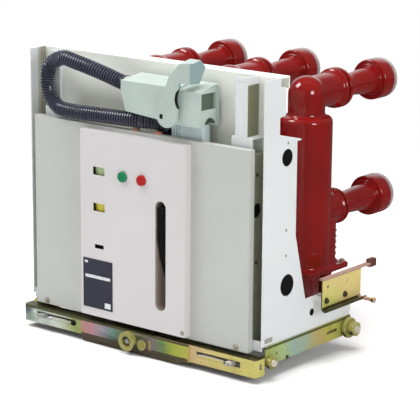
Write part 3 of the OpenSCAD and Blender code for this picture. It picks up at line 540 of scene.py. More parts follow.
def coated(name, colour, shade, gloss, surface, wear=0.0, dust=0.0, trough=None, bands=(), **sockets):
    """Paint, plastic, resin or metal: a mottled coat with rubbed edges and settled dust."""
    material, net, shader = new_material(name)
    grain, depth, patch = surface
    base = place_group(net, "mottle", Colour=rgba(colour), Shade=rgba([c * shade for c in colour]),
        Patch_Scale=patch, Grain_Scale=grain, Gloss_Low=gloss[0], Gloss_High=gloss[1])
    tone = base["Colour"]
    # Painted light on the hose: crests keep the paler colour as a highlight and grooves take a dark colour as
    # shade
    if trough:
        rib = net.add("ShaderNodeAttribute", attribute_name="rib").outputs["Fac"]
        tone = net.mix(rib, rgba(trough), tone)
    if wear:
        tone = net.mix(place_group(net, "edge_wear", Amount=wear)["Mask"], tone, rgba(BARE_STEEL))
    if dust:
        tone = net.mix(place_group(net, "settled_dust", Amount=dust)["Mask"], tone, rgba(DUST))
    join_surface(net, shader, banded(net, tone, bands), base, depth)
    set_sockets(shader, sockets)
    return material


def plated(name, along, phase, tints, drift, scale, wear=0.35, metallic=0.2, rim=0.001, bands=()):
    """Zinc with a rainbow passivation, bright where it is rubbed and darker underneath with painted shade."""
    material, net, shader = new_material(name)
    film = place_group(net, "passivation", Along=along, Phase=phase, Drift=drift, Drift_Scale=scale)
    tone = net.mix(film["Streak"], net.ramp(film["Run"], tints), rgba(ZINC_STREAK), "MULTIPLY")
    # Faces that look down get painted shade
    tone = banded(net, net.mix(film["Shade Below"], tone, rgba(ZINC_UNDER_SHADE)), bands)
    # Bright bare zinc on rubbed edges: wear, and where they are wide, as on the wheels, painted highlight too
    rubbed = place_group(net, "edge_wear", Amount=wear, Width=rim)["Mask"]
    join_surface(net, shader, net.mix(rubbed, tone, rgba(BARE_ZINC)), film, 0.00003)
    set_sockets(shader, {"Metallic": metallic})
    return material


def material(kind):
    """A finish by its kind, made on first use."""
    name = "finish_" + kind
    known = bpy.data.materials.get(name)
    if known:
        return known
    if kind in PLATINGS:
        *given, more = PLATINGS[kind]
        return plated(name, *given, **more)
    *given, more = coats(bpy.context.scene.breaker_finishes)[kind]
    return coated(name, *given, **more)


# Meshes


def box_mm(node):
    """A CAD node's low and high corners, in millimetres."""
    return [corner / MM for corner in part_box(node)]


def linked(name, data):
    """A new object in the scene."""
    obj = bpy.data.objects.new(name, data)
    bpy.context.collection.objects.link(obj)
    return obj


def applied(obj):
    """The plain mesh of an object with its modifiers applied; the object is removed."""
    bpy.context.view_layer.update()
    graph = bpy.context.evaluated_depsgraph_get()
    mesh = bpy.data.meshes.new_from_object(obj.evaluated_get(graph))
    for modifier in list(obj.modifiers):
        obj.modifiers.remove(modifier)
    bpy.data.objects.remove(obj)
    return mesh


def piece_from(name, mesh, finish, body, replaces=()):
    """An object at the origin that rides on a body and may stand for CAD nodes."""
    obj = linked(name, mesh)
    mesh.materials.clear()
    mesh.materials.append(finish)
    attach(obj, body)
    if replaces:
        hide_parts(*replaces)
    return obj


def merged_copy(node):
    """A CAD node's mesh with its corners joined and its flat faces made whole."""
    form = bmesh.new()
    form.from_mesh(frame["nodes"][node].data)
    bmesh.ops.remove_doubles(form, verts=form.verts, dist=1e-6)
    bmesh.ops.dissolve_limit(form, angle_limit=math.radians(0.4), verts=form.verts, edges=form.edges)
    return form


def smooth_by_angle(mesh, degrees):
    """Smooth shading, with sharp edges above an angle."""
    mesh.shade_smooth()
    mesh.set_sharp_from_angle(angle=math.radians(degrees))


def to_mesh(name, form):
    """A mesh from a bmesh, which is freed."""
    mesh = bpy.data.meshes.new(name)
    form.to_mesh(mesh)
    form.free()
    return mesh


def rounded(obj, radius, segments=2, degrees=SHARP):
    """The piece with its edges above an angle rounded."""
    bevel = obj.modifiers.new("rounded_edges", "BEVEL")
    bevel.width = radius
    bevel.segments = segments
    bevel.limit_method = "ANGLE"
    bevel.angle_limit = math.radians(degrees)
    bevel.harden_normals = True
    return obj


def softened(node, finish, radius, segments=2):
    """A copy of a CAD node with its edges rounded, in its place."""
    name = node + "_finished"
    mesh = to_mesh(name, merged_copy(node))
    smooth_by_angle(mesh, SHARP)
    obj = piece_from(name, mesh, material(finish), BODY_OF[node], [node])
    return rounded(obj, radius, segments)


def shaped(name, form, finish, body, replaces=(), edge=0.0, angle=SHARP):
    """A finished piece from a bmesh, with its edges rounded if an edge radius is given."""
    bmesh.ops.recalc_face_normals(form, faces=form.faces)
    mesh = to_mesh(name, form)
    smooth_by_angle(mesh, angle)
    obj = piece_from(name, mesh, material(finish), body, replaces)
    return rounded(obj, edge, degrees=angle) if edge else obj


def repainted(obj, finish, test):
    """Gives the faces of a piece whose middle and normal pass a test another finish."""
    mesh = obj.data
    mesh.materials.append(material(finish))
    for face in mesh.polygons:
        if test(face.center / MM, face.normal):
            face.material_index = len(mesh.materials) - 1


def add_box(form, low, high):
    """A box between two corners, in millimetres."""
    size = [(h - l) * MM for l, h in zip(low, high)]
    middle = [(h + l) / 2 * MM for l, h in zip(low, high)]
    matrix = Matrix.Translation(middle) @ Matrix.Diagonal((*size, 1.0))
    bmesh.ops.create_cube(form, size=1.0, matrix=matrix)


def add_turned(form, profile, place, axis, steps=32):
    """A closed solid turned from (radius, distance) pairs in millimetres about an axis at a place."""
    turn = Vector(UP).rotation_difference(Vector(axis)).to_matrix().to_4x4()
    matrix = Matrix.Translation(Vector(place) * MM) @ turn
    turns = [2 * math.pi * i / steps for i in range(steps)]
    rings = []
    for radius, height in profile:
        spots = [(radius * math.cos(t), radius * math.sin(t)) for t in turns] if radius > 0 else [(0, 0)]
        rings.append([form.verts.new(matrix @ (Vector((x, y, height)) * MM)) for x, y in spots])
    for low, high in zip(rings, rings[1:]):
        for i in range(steps):
            j = (i + 1) % steps
            corners = [low[i % len(low)], low[j % len(low)], high[j % len(high)], high[i % len(high)]]
            unique = list(dict.fromkeys(corners))
            if len(unique) > 2:
                form.faces.new(unique)
    for ring, flip in ((rings[0], True), (rings[-1], False)):
        if len(ring) > 1:
            form.faces.new(ring[::-1] if flip else ring)


def add_walls(form, rings):
    """Faces between neighbouring rings of as many corners each."""
    for a, b in zip(rings, rings[1:]):
        for i in range(len(a)):
            j = (i + 1) % len(a)
            form.faces.new([a[i], a[j], b[j], b[i]])


def add_band(form, outer, inner, low, high):
    """A closed band between two outlines across Y with as many corners each, in millimetres."""
    rings = [[form.verts.new(Vector((u, y, v)) * MM) for u, v in outline] for outline, y in
        ((outer, low), (outer, high), (inner, high), (inner, low))]
    add_walls(form, rings + rings[:1])


def add_prism(form, outline, low, high, axis="X"):
    """An outline in the plane across an axis, given thickness from low to high, in millimetres."""
    def point(u, v, w):
        return Vector({"X": (w, u, v), "Y": (u, w, v), "Z": (u, v, w)}[axis]) * MM
    ends = [[form.verts.new(point(u, v, w)) for u, v in outline] for w in (low, high)]
    form.faces.new(ends[0])
    form.faces.new(ends[1][::-1])
    add_walls(form, ends)


def stadium(x, low, high, radius, steps=12):
    """The outline of an upright slot with round ends, in millimetres."""
    turns = [math.pi * i / steps for i in range(steps + 1)]
    return [(x + radius * math.cos(start + t), z + radius * math.sin(start + t))
        for z, start in ((high - radius, 0.0), (low + radius, math.pi)) for t in turns]


# Parts that repeat


def grown(tree_name, source_mesh, values, smooth=30):
    """The plain mesh that a tree makes from a source mesh, with its named inputs set."""
    tree = shared_tree(tree_name)
    source = linked("seed_of_" + tree_name, source_mesh)
    modifier = source.modifiers.new(tree_name, "NODES")
    modifier.node_group = tree
    keys = {item.name: item.identifier for item in tree.interface.items_tree
        if item.item_type == "SOCKET" and item.in_out == "INPUT"}
    for label, value in values.items():
        modifier[keys[label]] = value
    mesh = applied(source)
    smooth_by_angle(mesh, smooth)
    if not mesh.polygons:
        raise RuntimeError("the tree " + tree_name + " made no faces")
    return mesh


def hidden_part(name, form):
    """A small part that trees repeat; it is removed once they have run."""
    bmesh.ops.recalc_face_normals(form, faces=form.faces)
    obj = linked(name, to_mesh(name, form))
    obj.hide_render = True
    return obj


def turned_part(name, *solids):
    """A hidden part that stands on zero, made of profiles turned about +Z with some number of sides."""
    form = bmesh.new()
    for profile, steps in solids:
        add_turned(form, profile, (0, 0, 0), UP, steps)
    return hidden_part(name, form)


def scattered(name, part, points, finish, body):
    """Copies of a part on points, each a place in millimetres, a facing and a size."""
    mesh = bpy.data.meshes.new(name + "_points")
    mesh.from_pydata([Vector(p) * MM for p, _, _ in points], [], [])
    mesh.attributes.new("facing", "FLOAT_VECTOR", "POINT")
    mesh.attributes.new("size", "FLOAT", "POINT")
    for i, (_, way, scale) in enumerate(points):
        mesh.attributes["facing"].data[i].vector = way
        mesh.attributes["size"].data[i].value = scale
    grown_mesh = grown("part_on_points", mesh, {"Part": part, "Material": material(finish)})
    return piece_from(name, grown_mesh, material(finish), body)


def on_both_sides(x, places, size):
    """Points at the same places on the left and the right, which face outward."""
    return [((side * x, y, z), (side, 0.0, 0.0), size) for side in (-1, 1) for y, z in places]


# A domed screw head with a recess on its washer, a hexagon head on its washer, and a low round head
PAN_HEAD = [([(6.4, 0), (6.4, 0.8), (6.1, 1.0), (0, 1.0)], 24),
    ([(4.4, 0.9), *((4.4 * math.cos(t), 1.5 + 2.0 * math.sin(t)) for t in (0, 0.35, 0.7, 1.05)),
        (1.9, 3.4), (1.2, 2.3), (0, 2.2)], 24)]
HEX_HEAD = [([(8.6, 0), (8.6, 1.2), (8.2, 1.5), (0, 1.5)], 32),
    ([(6.9, 1.4), (6.9, 5.4), (6.1, 6.0), (0, 6.0)], 6)]
RIVET_HEAD = [([(3.0, 0), (3.0, 0.4), (2.5, 1.1), (1.4, 1.6), (0, 1.8)], 16)]


# Operators, one for each group of pieces


class BREAKER_OT_castings(bpy.types.Operator):
    """Resin poles and the insulating sleeves of their arms"""

    bl_idname = "breaker.castings"
    bl_label = "Cast poles and sleeves"

    def execute(self, context):
        self.poles(context.scene.breaker_sizes.resin_voxel)
        rings = bmesh.new()
        for row in ("upper", "lower"):
            softened(row + "_sleeves", "resin", 1.4 * MM, 3)
            self.end_rings(rings, row + "_sleeves")
        shaped("cup_end_rings", rings, "pale_rubber", "truck")
        return {"FINISHED"}

    def poles(self, cell):
        """One pole's surface, eased as cast resin is, for all three."""
        centre = sum(corner.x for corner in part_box("pole_middle")) / 2
        source = linked("pole_core", to_mesh("pole_core", merged_copy("pole_middle")))
        cells = source.modifiers.new("cells", "REMESH")
        cells.mode = "VOXEL"
        cells.voxel_size = cell
        cells.adaptivity = 0.0
        relax = source.modifiers.new("relax", "SMOOTH")
        relax.factor = 0.5
        relax.iterations = 7
        cast = applied(source)
        cast.shade_smooth()
        for side in ("left", "middle", "right"):
            node = "pole_" + side
            mesh = cast.copy()
            shift = sum(corner.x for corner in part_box(node)) / 2 - centre
            mesh.transform(Matrix.Translation((shift, 0, 0)))
            piece_from("cast_pole_" + side, mesh, material("resin"), BODY_OF[node], [node])

    def end_rings(self, form, node):
        """A pale ring on the end of each cup in a row of sleeves."""
        low, high = box_mm(node)
        z, outer = (low.z + high.z) / 2, (high.z - low.z) / 2
        spread = (high.x - low.x) / 2 - outer
        profile = [(outer - 5.5, high.y - 2.0), (outer - 1.2, high.y - 2.0), (outer - 0.6, high.y + 3.6),
            (outer - 2.4, high.y + 5.6), (outer - 5.5, high.y + 5.6)]
        for x in (-spread, 0.0, spread):
            add_turned(form, profile, (x, 0, z), BACK, 48)


# The hose's centre line, from the plug's hood to the gland
HOSE_POINTS = [(-44, 18, 577), (-58, 18, 577), (-92, 12, 588), (-135, 6, 600), (-177, 3, 609),
    (-206, 3, 614), (-229, 3, 608), (-250, 3, 594), (-258, 3, 571), (-257, 3, 543), (-246, 3, 521),
    (-222, 3, 504), (-179, 3, 501), (-136, 3, 502), (-51, 8, 503), (0, 14, 503), (28, 26, 500),
    (42, 37, 490), (45, 40, 479), (45, 40, 468)]


def hose_route(steps=8):
    """The hose's centre line as a smooth row of points."""
    points = [Vector(p) * MM for p in HOSE_POINTS]
    line = []
    for i in range(len(points) - 1):
        a, b, c, d = (points[max(0, min(len(points) - 1, i + k))] for k in (-1, 0, 1, 2))
        for t in (j / steps for j in range(steps)):
            line.append(0.5 * (2 * b + (c - a) * t + (2 * a - 5 * b + 4 * c - d) * t * t
                + (3 * b - a - 3 * c + d) * t ** 3))
    return line + [points[-1]]


class BREAKER_OT_hose(bpy.types.Operator):
    """Corrugated hose between the plug and the housing"""

    bl_idname = "breaker.hose"
    bl_label = "Lay the hose"

    def execute(self, context):
        sizes = context.scene.breaker_sizes
        line = hose_route()
        path = bpy.data.meshes.new("hose_path")
        path.from_pydata(line, [(i, i + 1) for i in range(len(line) - 1)], [])
        plastic = material("hose_plastic")
        mesh = grown("ribbed_hose", path, {"Radius": sizes.hose_radius, "Pitch": sizes.hose_pitch,
            "Groove": sizes.hose_groove, "Material": plastic}, 60)
        piece_from("ribbed_hose_run", mesh, plastic, "truck", ["corrugated_hose"])
        softened("hose_gland", "black_plastic", 1.2 * MM, 3)
        return {"FINISHED"}


SHEET_COATS = {"side_panel_left": "frame_coat", "side_panel_right": "frame_coat",
    "rear_wall": "frame_coat", "base_trough": "frame_coat", "upper_beam": "beam_coat_painted_light",
    "upper_posts": "post_coat", "mechanism_housing": "housing_zinc"}
# Round holes in the side panels and in the housing's sides: place along Y, height and radius
PANEL_HOLES = [(92, 456, 18), (98, 187, 23), (188, 109, 8)]
SHAFT_HOLE = (33, 352, 15.5)
TERMINALS = [(-15, 12), (46, 12)]
TERMINAL_PROFILE = [(0, 0), (9.5, 0), (9.5, 11), (8, 12.5), (8, 16), (6.5, 17.5), (0, 17.5)]


class BREAKER_OT_frame_sheets(bpy.types.Operator):
    """Folded and painted sheets of the frame"""

    bl_idname = "breaker.frame_sheets"
    bl_label = "Fold the frame"

    def execute(self, context):
        edge = context.scene.breaker_sizes.sheet_edge
        for node, finish in SHEET_COATS.items():
            softened(node, finish, edge)
        softened("front_cover", "cover_coat", edge * 1.6)
        self.caps()
        self.terminals()
        return {"FINISHED"}

    def caps(self):
        """Black caps in the round holes of the side panels and of the housing, as painted shade inside the
        holes.
        """
        form = bmesh.new()
        inner, outer = (corner.x for corner in box_mm("side_panel_right"))
        housing = box_mm("mechanism_housing")[1].x
        holes = [(*hole, inner, outer - 1.2) for hole in PANEL_HOLES]
        for y, z, radius, low, high in holes + [(*SHAFT_HOLE, housing - 9.0, housing - 4.0)]:
            profile = [(0, low), (radius - 0.2, low), (radius - 0.2, high), (radius - 2.5, high),
                (radius - 3.5, high - 1.2), (0, high - 1.2)]
            for way in (LEFT, RIGHT):
                add_turned(form, profile, (0, y, z), way, 40)
        shaped("blanking_caps", form, "black_plastic", "truck")

    def terminals(self):
        """Copper terminals on the housing's top, beside the hose."""
        form = bmesh.new()
        top = box_mm("mechanism_housing")[1].z
        for x, y in TERMINALS:
            add_turned(form, TERMINAL_PROFILE, (x, y, top), UP, 24)
        shaped("housing_terminals", form, "copper", "truck")


# The lever's slot: its middle, its lower and upper ends and the radius of its ends
LEVER_SLOT = (78.5, 112, 348, 14.5)
# Bare fields of the data plate: left, bottom, width and height as shares of the plate
PLATE_FIELDS = [(0.08, 0.61, 0.85, 0.062), (0.74, 0.04, 0.2, 0.11), (0.06, 0.90, 0.10, 0.05)]


class BREAKER_OT_facia(bpy.types.Operator):
    """Facia with its windows, buttons, lever and data plate"""

    bl_idname = "breaker.facia"
    bl_label = "Fit the facia"

    def execute(self, context):
        softened("facia", "facia_coat", 1.6 * MM, 3)
        softened("close_button", "green_cap", 0.6 * MM)
        softened("open_button", "red_cap", 0.6 * MM)
        softened("charging_lever", "black_plastic", 2.4 * MM, 3)
        for node, tone in (("position_window", "green_flag"), ("spring_window", "yellow_flag"),
                ("counter_window", "black_plastic")):
            self.window(node, tone)
        self.plate()
        self.liner()
        return {"FINISHED"}

    def liner(self):
        """A moulded lining round the lever's slot, between the facia and the housing."""
        x, z0, z1, radius = LEVER_SLOT
        wall = 0.8
        form = bmesh.new()
        add_band(form, stadium(x, z0, z1, radius), stadium(x, z0 + wall, z1 - wall, radius - wall),
            box_mm("facia")[0].y + 1.5, box_mm("mechanism_housing")[0].y)
        shaped("slot_lining", form, "slot_liner", "truck")

    def window(self, node, tone):
        """A black well behind an opening, as painted shade on its walls, with a bowed flag at its bottom."""
        low, high = box_mm(node)
        wall = 1.0
        left, right = low.x + wall, high.x - wall
        form = bmesh.new()
        # Black walls round the opening stand for the shade inside it
        for a, b in (((low.x, low.z), (left, high.z)), ((right, low.z), (high.x, high.z)),
                ((left, low.z), (right, low.z + wall)), ((left, high.z - wall), (right, high.z))):
            add_box(form, (a[0], low.y, a[1]), (b[0], high.y - 1.0, b[1]))
        shaped(node + "_well", form, "black_plastic", BODY_OF[node], edge=0.2 * MM)
        form = bmesh.new()
        bow = [(low.x + (high.x - low.x) * i / 8, high.y - 5.5 - 3.2 * math.sin(math.pi * i / 8))
            for i in range(9)]
        add_prism(form, [(low.x, high.y), (high.x, high.y)] + bow[::-1], low.z, high.z, "Z")
        shaped(node + "_flag", form, tone, BODY_OF[node], [node], angle=40)

    def plate(self):
        """A thin plate with bare fields."""
        softened("nameplate", "plate_coat", 0.3 * MM)
        low, high = box_mm("nameplate")
        width, tall = high.x - low.x, high.z - low.z
        form = bmesh.new()
        for u, v, w, h in PLATE_FIELDS:
            add_box(form, (low.x + u * width, low.y - 0.25, low.z + v * tall),
                (low.x + (u + w) * width, low.y + 0.1, low.z + (v + h) * tall))
        shaped("nameplate_fields", form, "plate_field", BODY_OF["nameplate"], edge=0.1 * MM)


# The latch's round hollow edge: its centre, its radius, and where it starts and how far it runs in degrees
LATCH_HOLLOW = (141, 566, 27, 128, 98)
# The latch's window: left, bottom, right and top
LATCH_WINDOW = (74.1, 521.1, 82.9, 530.9)
# The hood's inner faces take painted shade above one height, and the latch's outer face above another
RECESS_FOOT, HORN_FOOT = 514, 590


class BREAKER_OT_plug(bpy.types.Operator):
    """Control plug, its latch and its socket"""

    bl_idname = "breaker.plug"
    bl_label = "Mould the plug"

    def execute(self, context):
        edge = context.scene.breaker_sizes.plastic_edge
        hood = softened("plug_hood", "plug_moulding", edge, 3)
        side = box_mm("plug_hood")[1].x
        # Painted shade: a darker green on the hood's recess walls and on its faces that look down
        repainted(hood, "recess_shaded_moulding", lambda c, n: side - 45 < c.x < side - 2.5 and c.z > RECESS_FOOT
            and abs(n.x) > 0.5 or side - 40 < c.x < side - 2.5 and n.z < -0.2)
        latch = softened("plug_latch", "latch_moulding", edge * 0.7, 3)
        # Painted shade: the horn's faces to the right are darker than the lit front
        repainted(latch, "horn_shaded_moulding", lambda c, n: n.x > 0.7 and c.z > HORN_FOOT)
        self.latch_gaps()
        softened("socket_base", "socket_moulding", 0.8 * MM)
        return {"FINISHED"}

    def latch_gaps(self):
        """Painted shadow: a black well in the latch's window and a black sliver along its hollow edge, where
        the gap to the hood is in shade.
        """
        front = box_mm("plug_latch")[0].y
        form = bmesh.new()
        left, bottom, right, top = LATCH_WINDOW
        add_box(form, (left, front + 1.0, bottom), (right, front + 6.0, top))
        x, z, radius, start, sweep = LATCH_HOLLOW
        hollow, steps = [], 16
        for i in range(steps + 1):
            angle = math.radians(start + sweep * i / steps)
            hollow.append((x + radius * math.cos(angle) - 0.3, z + radius * math.sin(angle),
                3.4 * math.sin(math.pi * i / steps) + 0.3))
        outline = [(u, v) for u, v, _ in hollow] + [(u + wide, v) for u, v, wide in hollow[::-1]]
        add_prism(form, outline, front + 0.6, front + 6.5, "Y")
        shaped("latch_gaps", form, "black_plastic", BODY_OF["plug_latch"])


class BREAKER_OT_contacts(bpy.types.Operator):
    """Tulip contacts: fingers round a bore, held by garter springs"""

    bl_idname = "breaker.contacts"
    bl_label = "Assemble the contacts"

    def execute(self, context):
        for node in ("upper_contacts", "lower_contacts"):
            low, high = box_mm(node)
            z = (low.z + high.z) / 2
            spread = (high.x - low.x) / 2 - (high.z - low.z) / 2
            places = [(-spread, 0.0, z), (0.0, 0.0, z), (spread, 0.0, z)]
            self.fingers(node, places, low.y, high.y, context.scene.breaker_sizes.finger_count)
            self.seats(node, places, low.y)
            self.springs(node, places, high.y)
        return {"FINISHED"}

    def fingers(self, node, places, back, tip, count):
        """Silvered fingers round each bore."""
        profile = [(back + 3, 19.0), (back + 3, 30.0), (back + 8, 33.0), (tip - 14, 33.0), (tip - 12, 30.5),
            (tip - 9, 30.5), (tip - 7, 34.0), (tip - 2, 36.0), (tip, 34.0), (tip, 22.0), (tip - 3, 18.4),
            (tip - 7, 18.4)]
        finger = bmesh.new()
        add_prism(finger, profile, -2.3, 2.3)
        bmesh.ops.bevel(finger, geom=finger.edges[:], offset=0.5 * MM, segments=1, affect="EDGES")
        part = hidden_part("contact_finger", finger)
        dots = bpy.data.meshes.new("contact_places")
        dots.from_pydata([Vector(p) * MM for p in places], [], [])
        mesh = grown("part_in_ring", dots, {"Part": part, "Count": count, "Material": material("silver")})
        bpy.data.objects.remove(part)
        piece_from(node + "_fingers", mesh, material("silver"), BODY_OF[node], [node])

    def seats(self, node, places, back):
        """The copper disc behind each ring of fingers."""
        form = bmesh.new()
        for x, _, z in places:
            add_turned(form, [(0, 0), (33.5, 0), (34, 0.5), (34, 3.5), (33.5, 4), (0, 4)], (x, back, z),
                BACK, 48)
        shaped(node + "_seats", form, "copper", BODY_OF[node])

    def springs(self, node, places, tip):
        """A coiled garter in the groove round each ring of fingers."""
        coil = bmesh.new()
        turns, wire, reach = 96, 1.0, 32.2
        for angle in (2 * math.pi * i / turns for i in range(turns)):
            middle = Vector((reach * math.cos(angle), tip - 10.5, reach * math.sin(angle))) * MM
            turn = Matrix.Rotation(-angle, 4, "Y")
            bmesh.ops.create_uvsphere(coil, u_segments=6, v_segments=4, radius=wire * MM,
                matrix=Matrix.Translation(middle) @ turn @ Matrix.Diagonal((1.5, 1.5, 0.9, 1.0)))
        part = hidden_part("garter_spring", coil)
        points = [(place, UP, 1.0) for place in places]
        scattered(node + "_springs", part, points, "steel", BODY_OF[node])
        bpy.data.objects.remove(part)


TRUCK_FINISHES = {"rail_left": "zinc_rail", "rail_right": "zinc_rail", "screw_tray": "zinc_inner",
    "wheel_front_left": "zinc_rim", "wheel_front_right": "zinc_rim", "wheel_rear_left": "zinc_rim",
    "wheel_rear_right": "zinc_rim", "shutter_bracket_left": "zinc_bracket",
    "shutter_bracket_right": "zinc_bracket", "crossbeam": "zinc_beam", "racking_cover": "zinc_cover",
    "guide_bars": "zinc_inner", "lock_tongue_left": "steel", "lock_tongue_right": "steel"}
# Arched upper edge and straight lower edge of the shims in the crossbeam's slots
SHIM_ARCH = [(170, 33.6), (188, 35.2), (206, 36.4), (224, 36.2), (241, 35)]
SHIM_FOOT = [(241, 28.5), (170, 28.5)]
# The shutter brackets take painted shade below a height, where their gutters face down, save for a strap
# between two places along Y
BRACKET_SHADE_TOP = 124
BRACKET_STRAP = (316, 326)


class BREAKER_OT_truck(bpy.types.Operator):
    """Racking truck: rails, wheels, beam, screw, tongues and shutter brackets"""

    bl_idname = "breaker.truck"
    bl_label = "Assemble the truck"

    def execute(self, context):
        sizes = context.scene.breaker_sizes
        pieces = {node: softened(node, finish, sizes.sheet_edge) for node, finish in TRUCK_FINISHES.items()}
        front = box_mm("crossbeam")[0].y
        # Painted shade: darker zinc on the brackets' gutters, which face down
        for side in ("left", "right"):
            repainted(pieces["shutter_bracket_" + side], "zinc_dark",
                lambda c, n: c.z < BRACKET_SHADE_TOP and not BRACKET_STRAP[0] < c.y < BRACKET_STRAP[1])
        # Painted shadow: darker zinc on the crossbeam's top, under the front cover
        repainted(pieces["crossbeam"], "zinc_dark", lambda c, n: n.z > 0.7)
        repainted(pieces["racking_cover"], "zinc_rim", lambda c, n: c.y < front - 5.2)
        self.shims(front)
        self.screw(sizes.thread_pitch / MM)
        return {"FINISHED"}

    def shims(self, front):
        """Bright and gold shims in both slots, and a black knob at the left slot's inner end."""
        thick = 0.4
        for name, finish, drop, depth in (("bright_shims", "zinc_bright", 0.0, 1.4),
                ("gold_shims", "zinc_beam", 2.4, 0.9)):
            form = bmesh.new()
            for side in (-1, 1):
                outline = [(side * x, z - drop) for x, z in SHIM_ARCH] + [(side * x, z) for x, z in SHIM_FOOT]
                add_prism(form, outline, front + depth, front + depth + thick, "Y")
            shaped(name, form, finish, BODY_OF["crossbeam"])
        form = bmesh.new()
        add_turned(form, [(0, -6.5), (4.4, -6.5), (5.4, -5.2), (5.4, 0), (0, 0)], (-173, front, 35), BACK, 24)
        shaped("beam_knob", form, "black_plastic", BODY_OF["crossbeam"])

    def screw(self, lead):
        """A threaded rod with a hexagon for the crank."""
        low, high = box_mm("racking_screw")
        place = ((low.x + high.x) / 2, 0, (low.z + high.z) / 2)
        radius, start = (high.z - low.z) / 2, low.y + 40.0
        profile = [(radius, low.y + 12.0), (radius, start)]
        for i in range(int((high.y - 4.0 - start) / lead)):
            base = start + i * lead
            profile += [(radius - 1.6, base + lead * 0.3), (radius - 1.6, base + lead * 0.5),
                (radius, base + lead * 0.8), (radius, base + lead)]
        profile += [(radius, high.y - 1.0), (radius - 1.0, high.y)]
        form = bmesh.new()
        add_turned(form, [(0, profile[0][1]), *profile, (0, high.y)], place, BACK, 24)
        add_turned(form, [(0, low.y), (5.2, low.y), (6.0, low.y + 1.0), (6.0, low.y + 13.0),
            (0, low.y + 13.0)], place, BACK, 6)
        shaped("threaded_screw", form, "steel", BODY_OF["racking_screw"], ["racking_screw"],
            angle=25)


# The shutter brackets' outer face, the top of the poles' feet and the poles' middles, in millimetres
BRACKET_FACE, FOOT_TOP = 347.0, 168.0
POLES_X = (-210, 0, 210)


class BREAKER_OT_fasteners(bpy.types.Operator):
    """Screws, bolts, rivets, nuts and clips"""

    bl_idname = "breaker.fasteners"
    bl_label = "Fit the fasteners"

    def execute(self, context):
        pan = turned_part("pan_head", *PAN_HEAD)
        hexagon = turned_part("hex_head", *HEX_HEAD)
        rivet = turned_part("rivet_head", *RIVET_HEAD)
        panel = box_mm("side_panel_right")[1].x
        housing = box_mm("mechanism_housing")[1].x
        rail = box_mm("rail_right")[1].x
        rows = [
            ("cover_screws", pan, [((x, 0, 67), FRONT, 1.1) for x in (-264, 264)], "dull_steel", "steel"),
            ("facia_screw", pan, [((138, box_mm("facia")[0].y, 76), FRONT, 0.8)], "dull_steel", "steel"),
            ("panel_rivets", rivet, on_both_sides(panel, [(91, 251), (91, 305), (93, 486)], 1.0),
                "dull_steel", "steel"),
            ("housing_rivets", rivet, on_both_sides(housing, [(31, 426), (31, 244)], 1.2), "dark_steel",
                "grey_paint"),
            ("rail_nuts", hexagon, on_both_sides(rail, [(60, 49)], 0.5), "zinc_dark", "yellow_zinc"),
            ("bracket_bolts", hexagon, on_both_sides(BRACKET_FACE, [(200, 136), (268, 136)], 0.8),
                "zinc_dark", "yellow_zinc"),
        ]
        for name, part, points, finish, slot in rows:
            scattered(name, part, points, finish, "truck")
        self.clips(panel)
        for axle in ("front", "rear"):
            for side, way in (("left", -1), ("right", 1)):
                self.wheel_nut(f"wheel_{axle}_{side}", hexagon, way)
        bolts = [((x + dx, 388, FOOT_TOP), UP, 0.85) for x in POLES_X for dx in (-46, 46)]
        scattered("foot_bolts", hexagon, bolts, "zinc_small", "truck")
        for obj in (pan, hexagon, rivet):
            bpy.data.objects.remove(obj)
        return {"FINISHED"}

    def wheel_nut(self, node, part, way):
        """The nut on a wheel's outer face."""
        low, high = box_mm(node)
        hub = (high.x if way > 0 else low.x, (low.y + high.y) / 2, (low.z + high.z) / 2)
        scattered(node + "_nut", part, [(hub, (way, 0.0, 0.0), 0.95)], "zinc_bright", BODY_OF[node])

    def clips(self, panel):
        """A small grey clip near the foot of each side panel."""
        form = bmesh.new()
        for side in (-1, 1):
            a, b = sorted((side * (panel - 0.5), side * (panel + 3.0)))
            add_box(form, (a, 24, 79), (b, 46, 88))
        shaped("panel_clips", form, "grey_rubber", "truck", edge=0.5 * MM)


# The way to the pale backdrop behind the object, as a reflection sees it
BACKDROP = (-0.61, 0.76, 0.23)


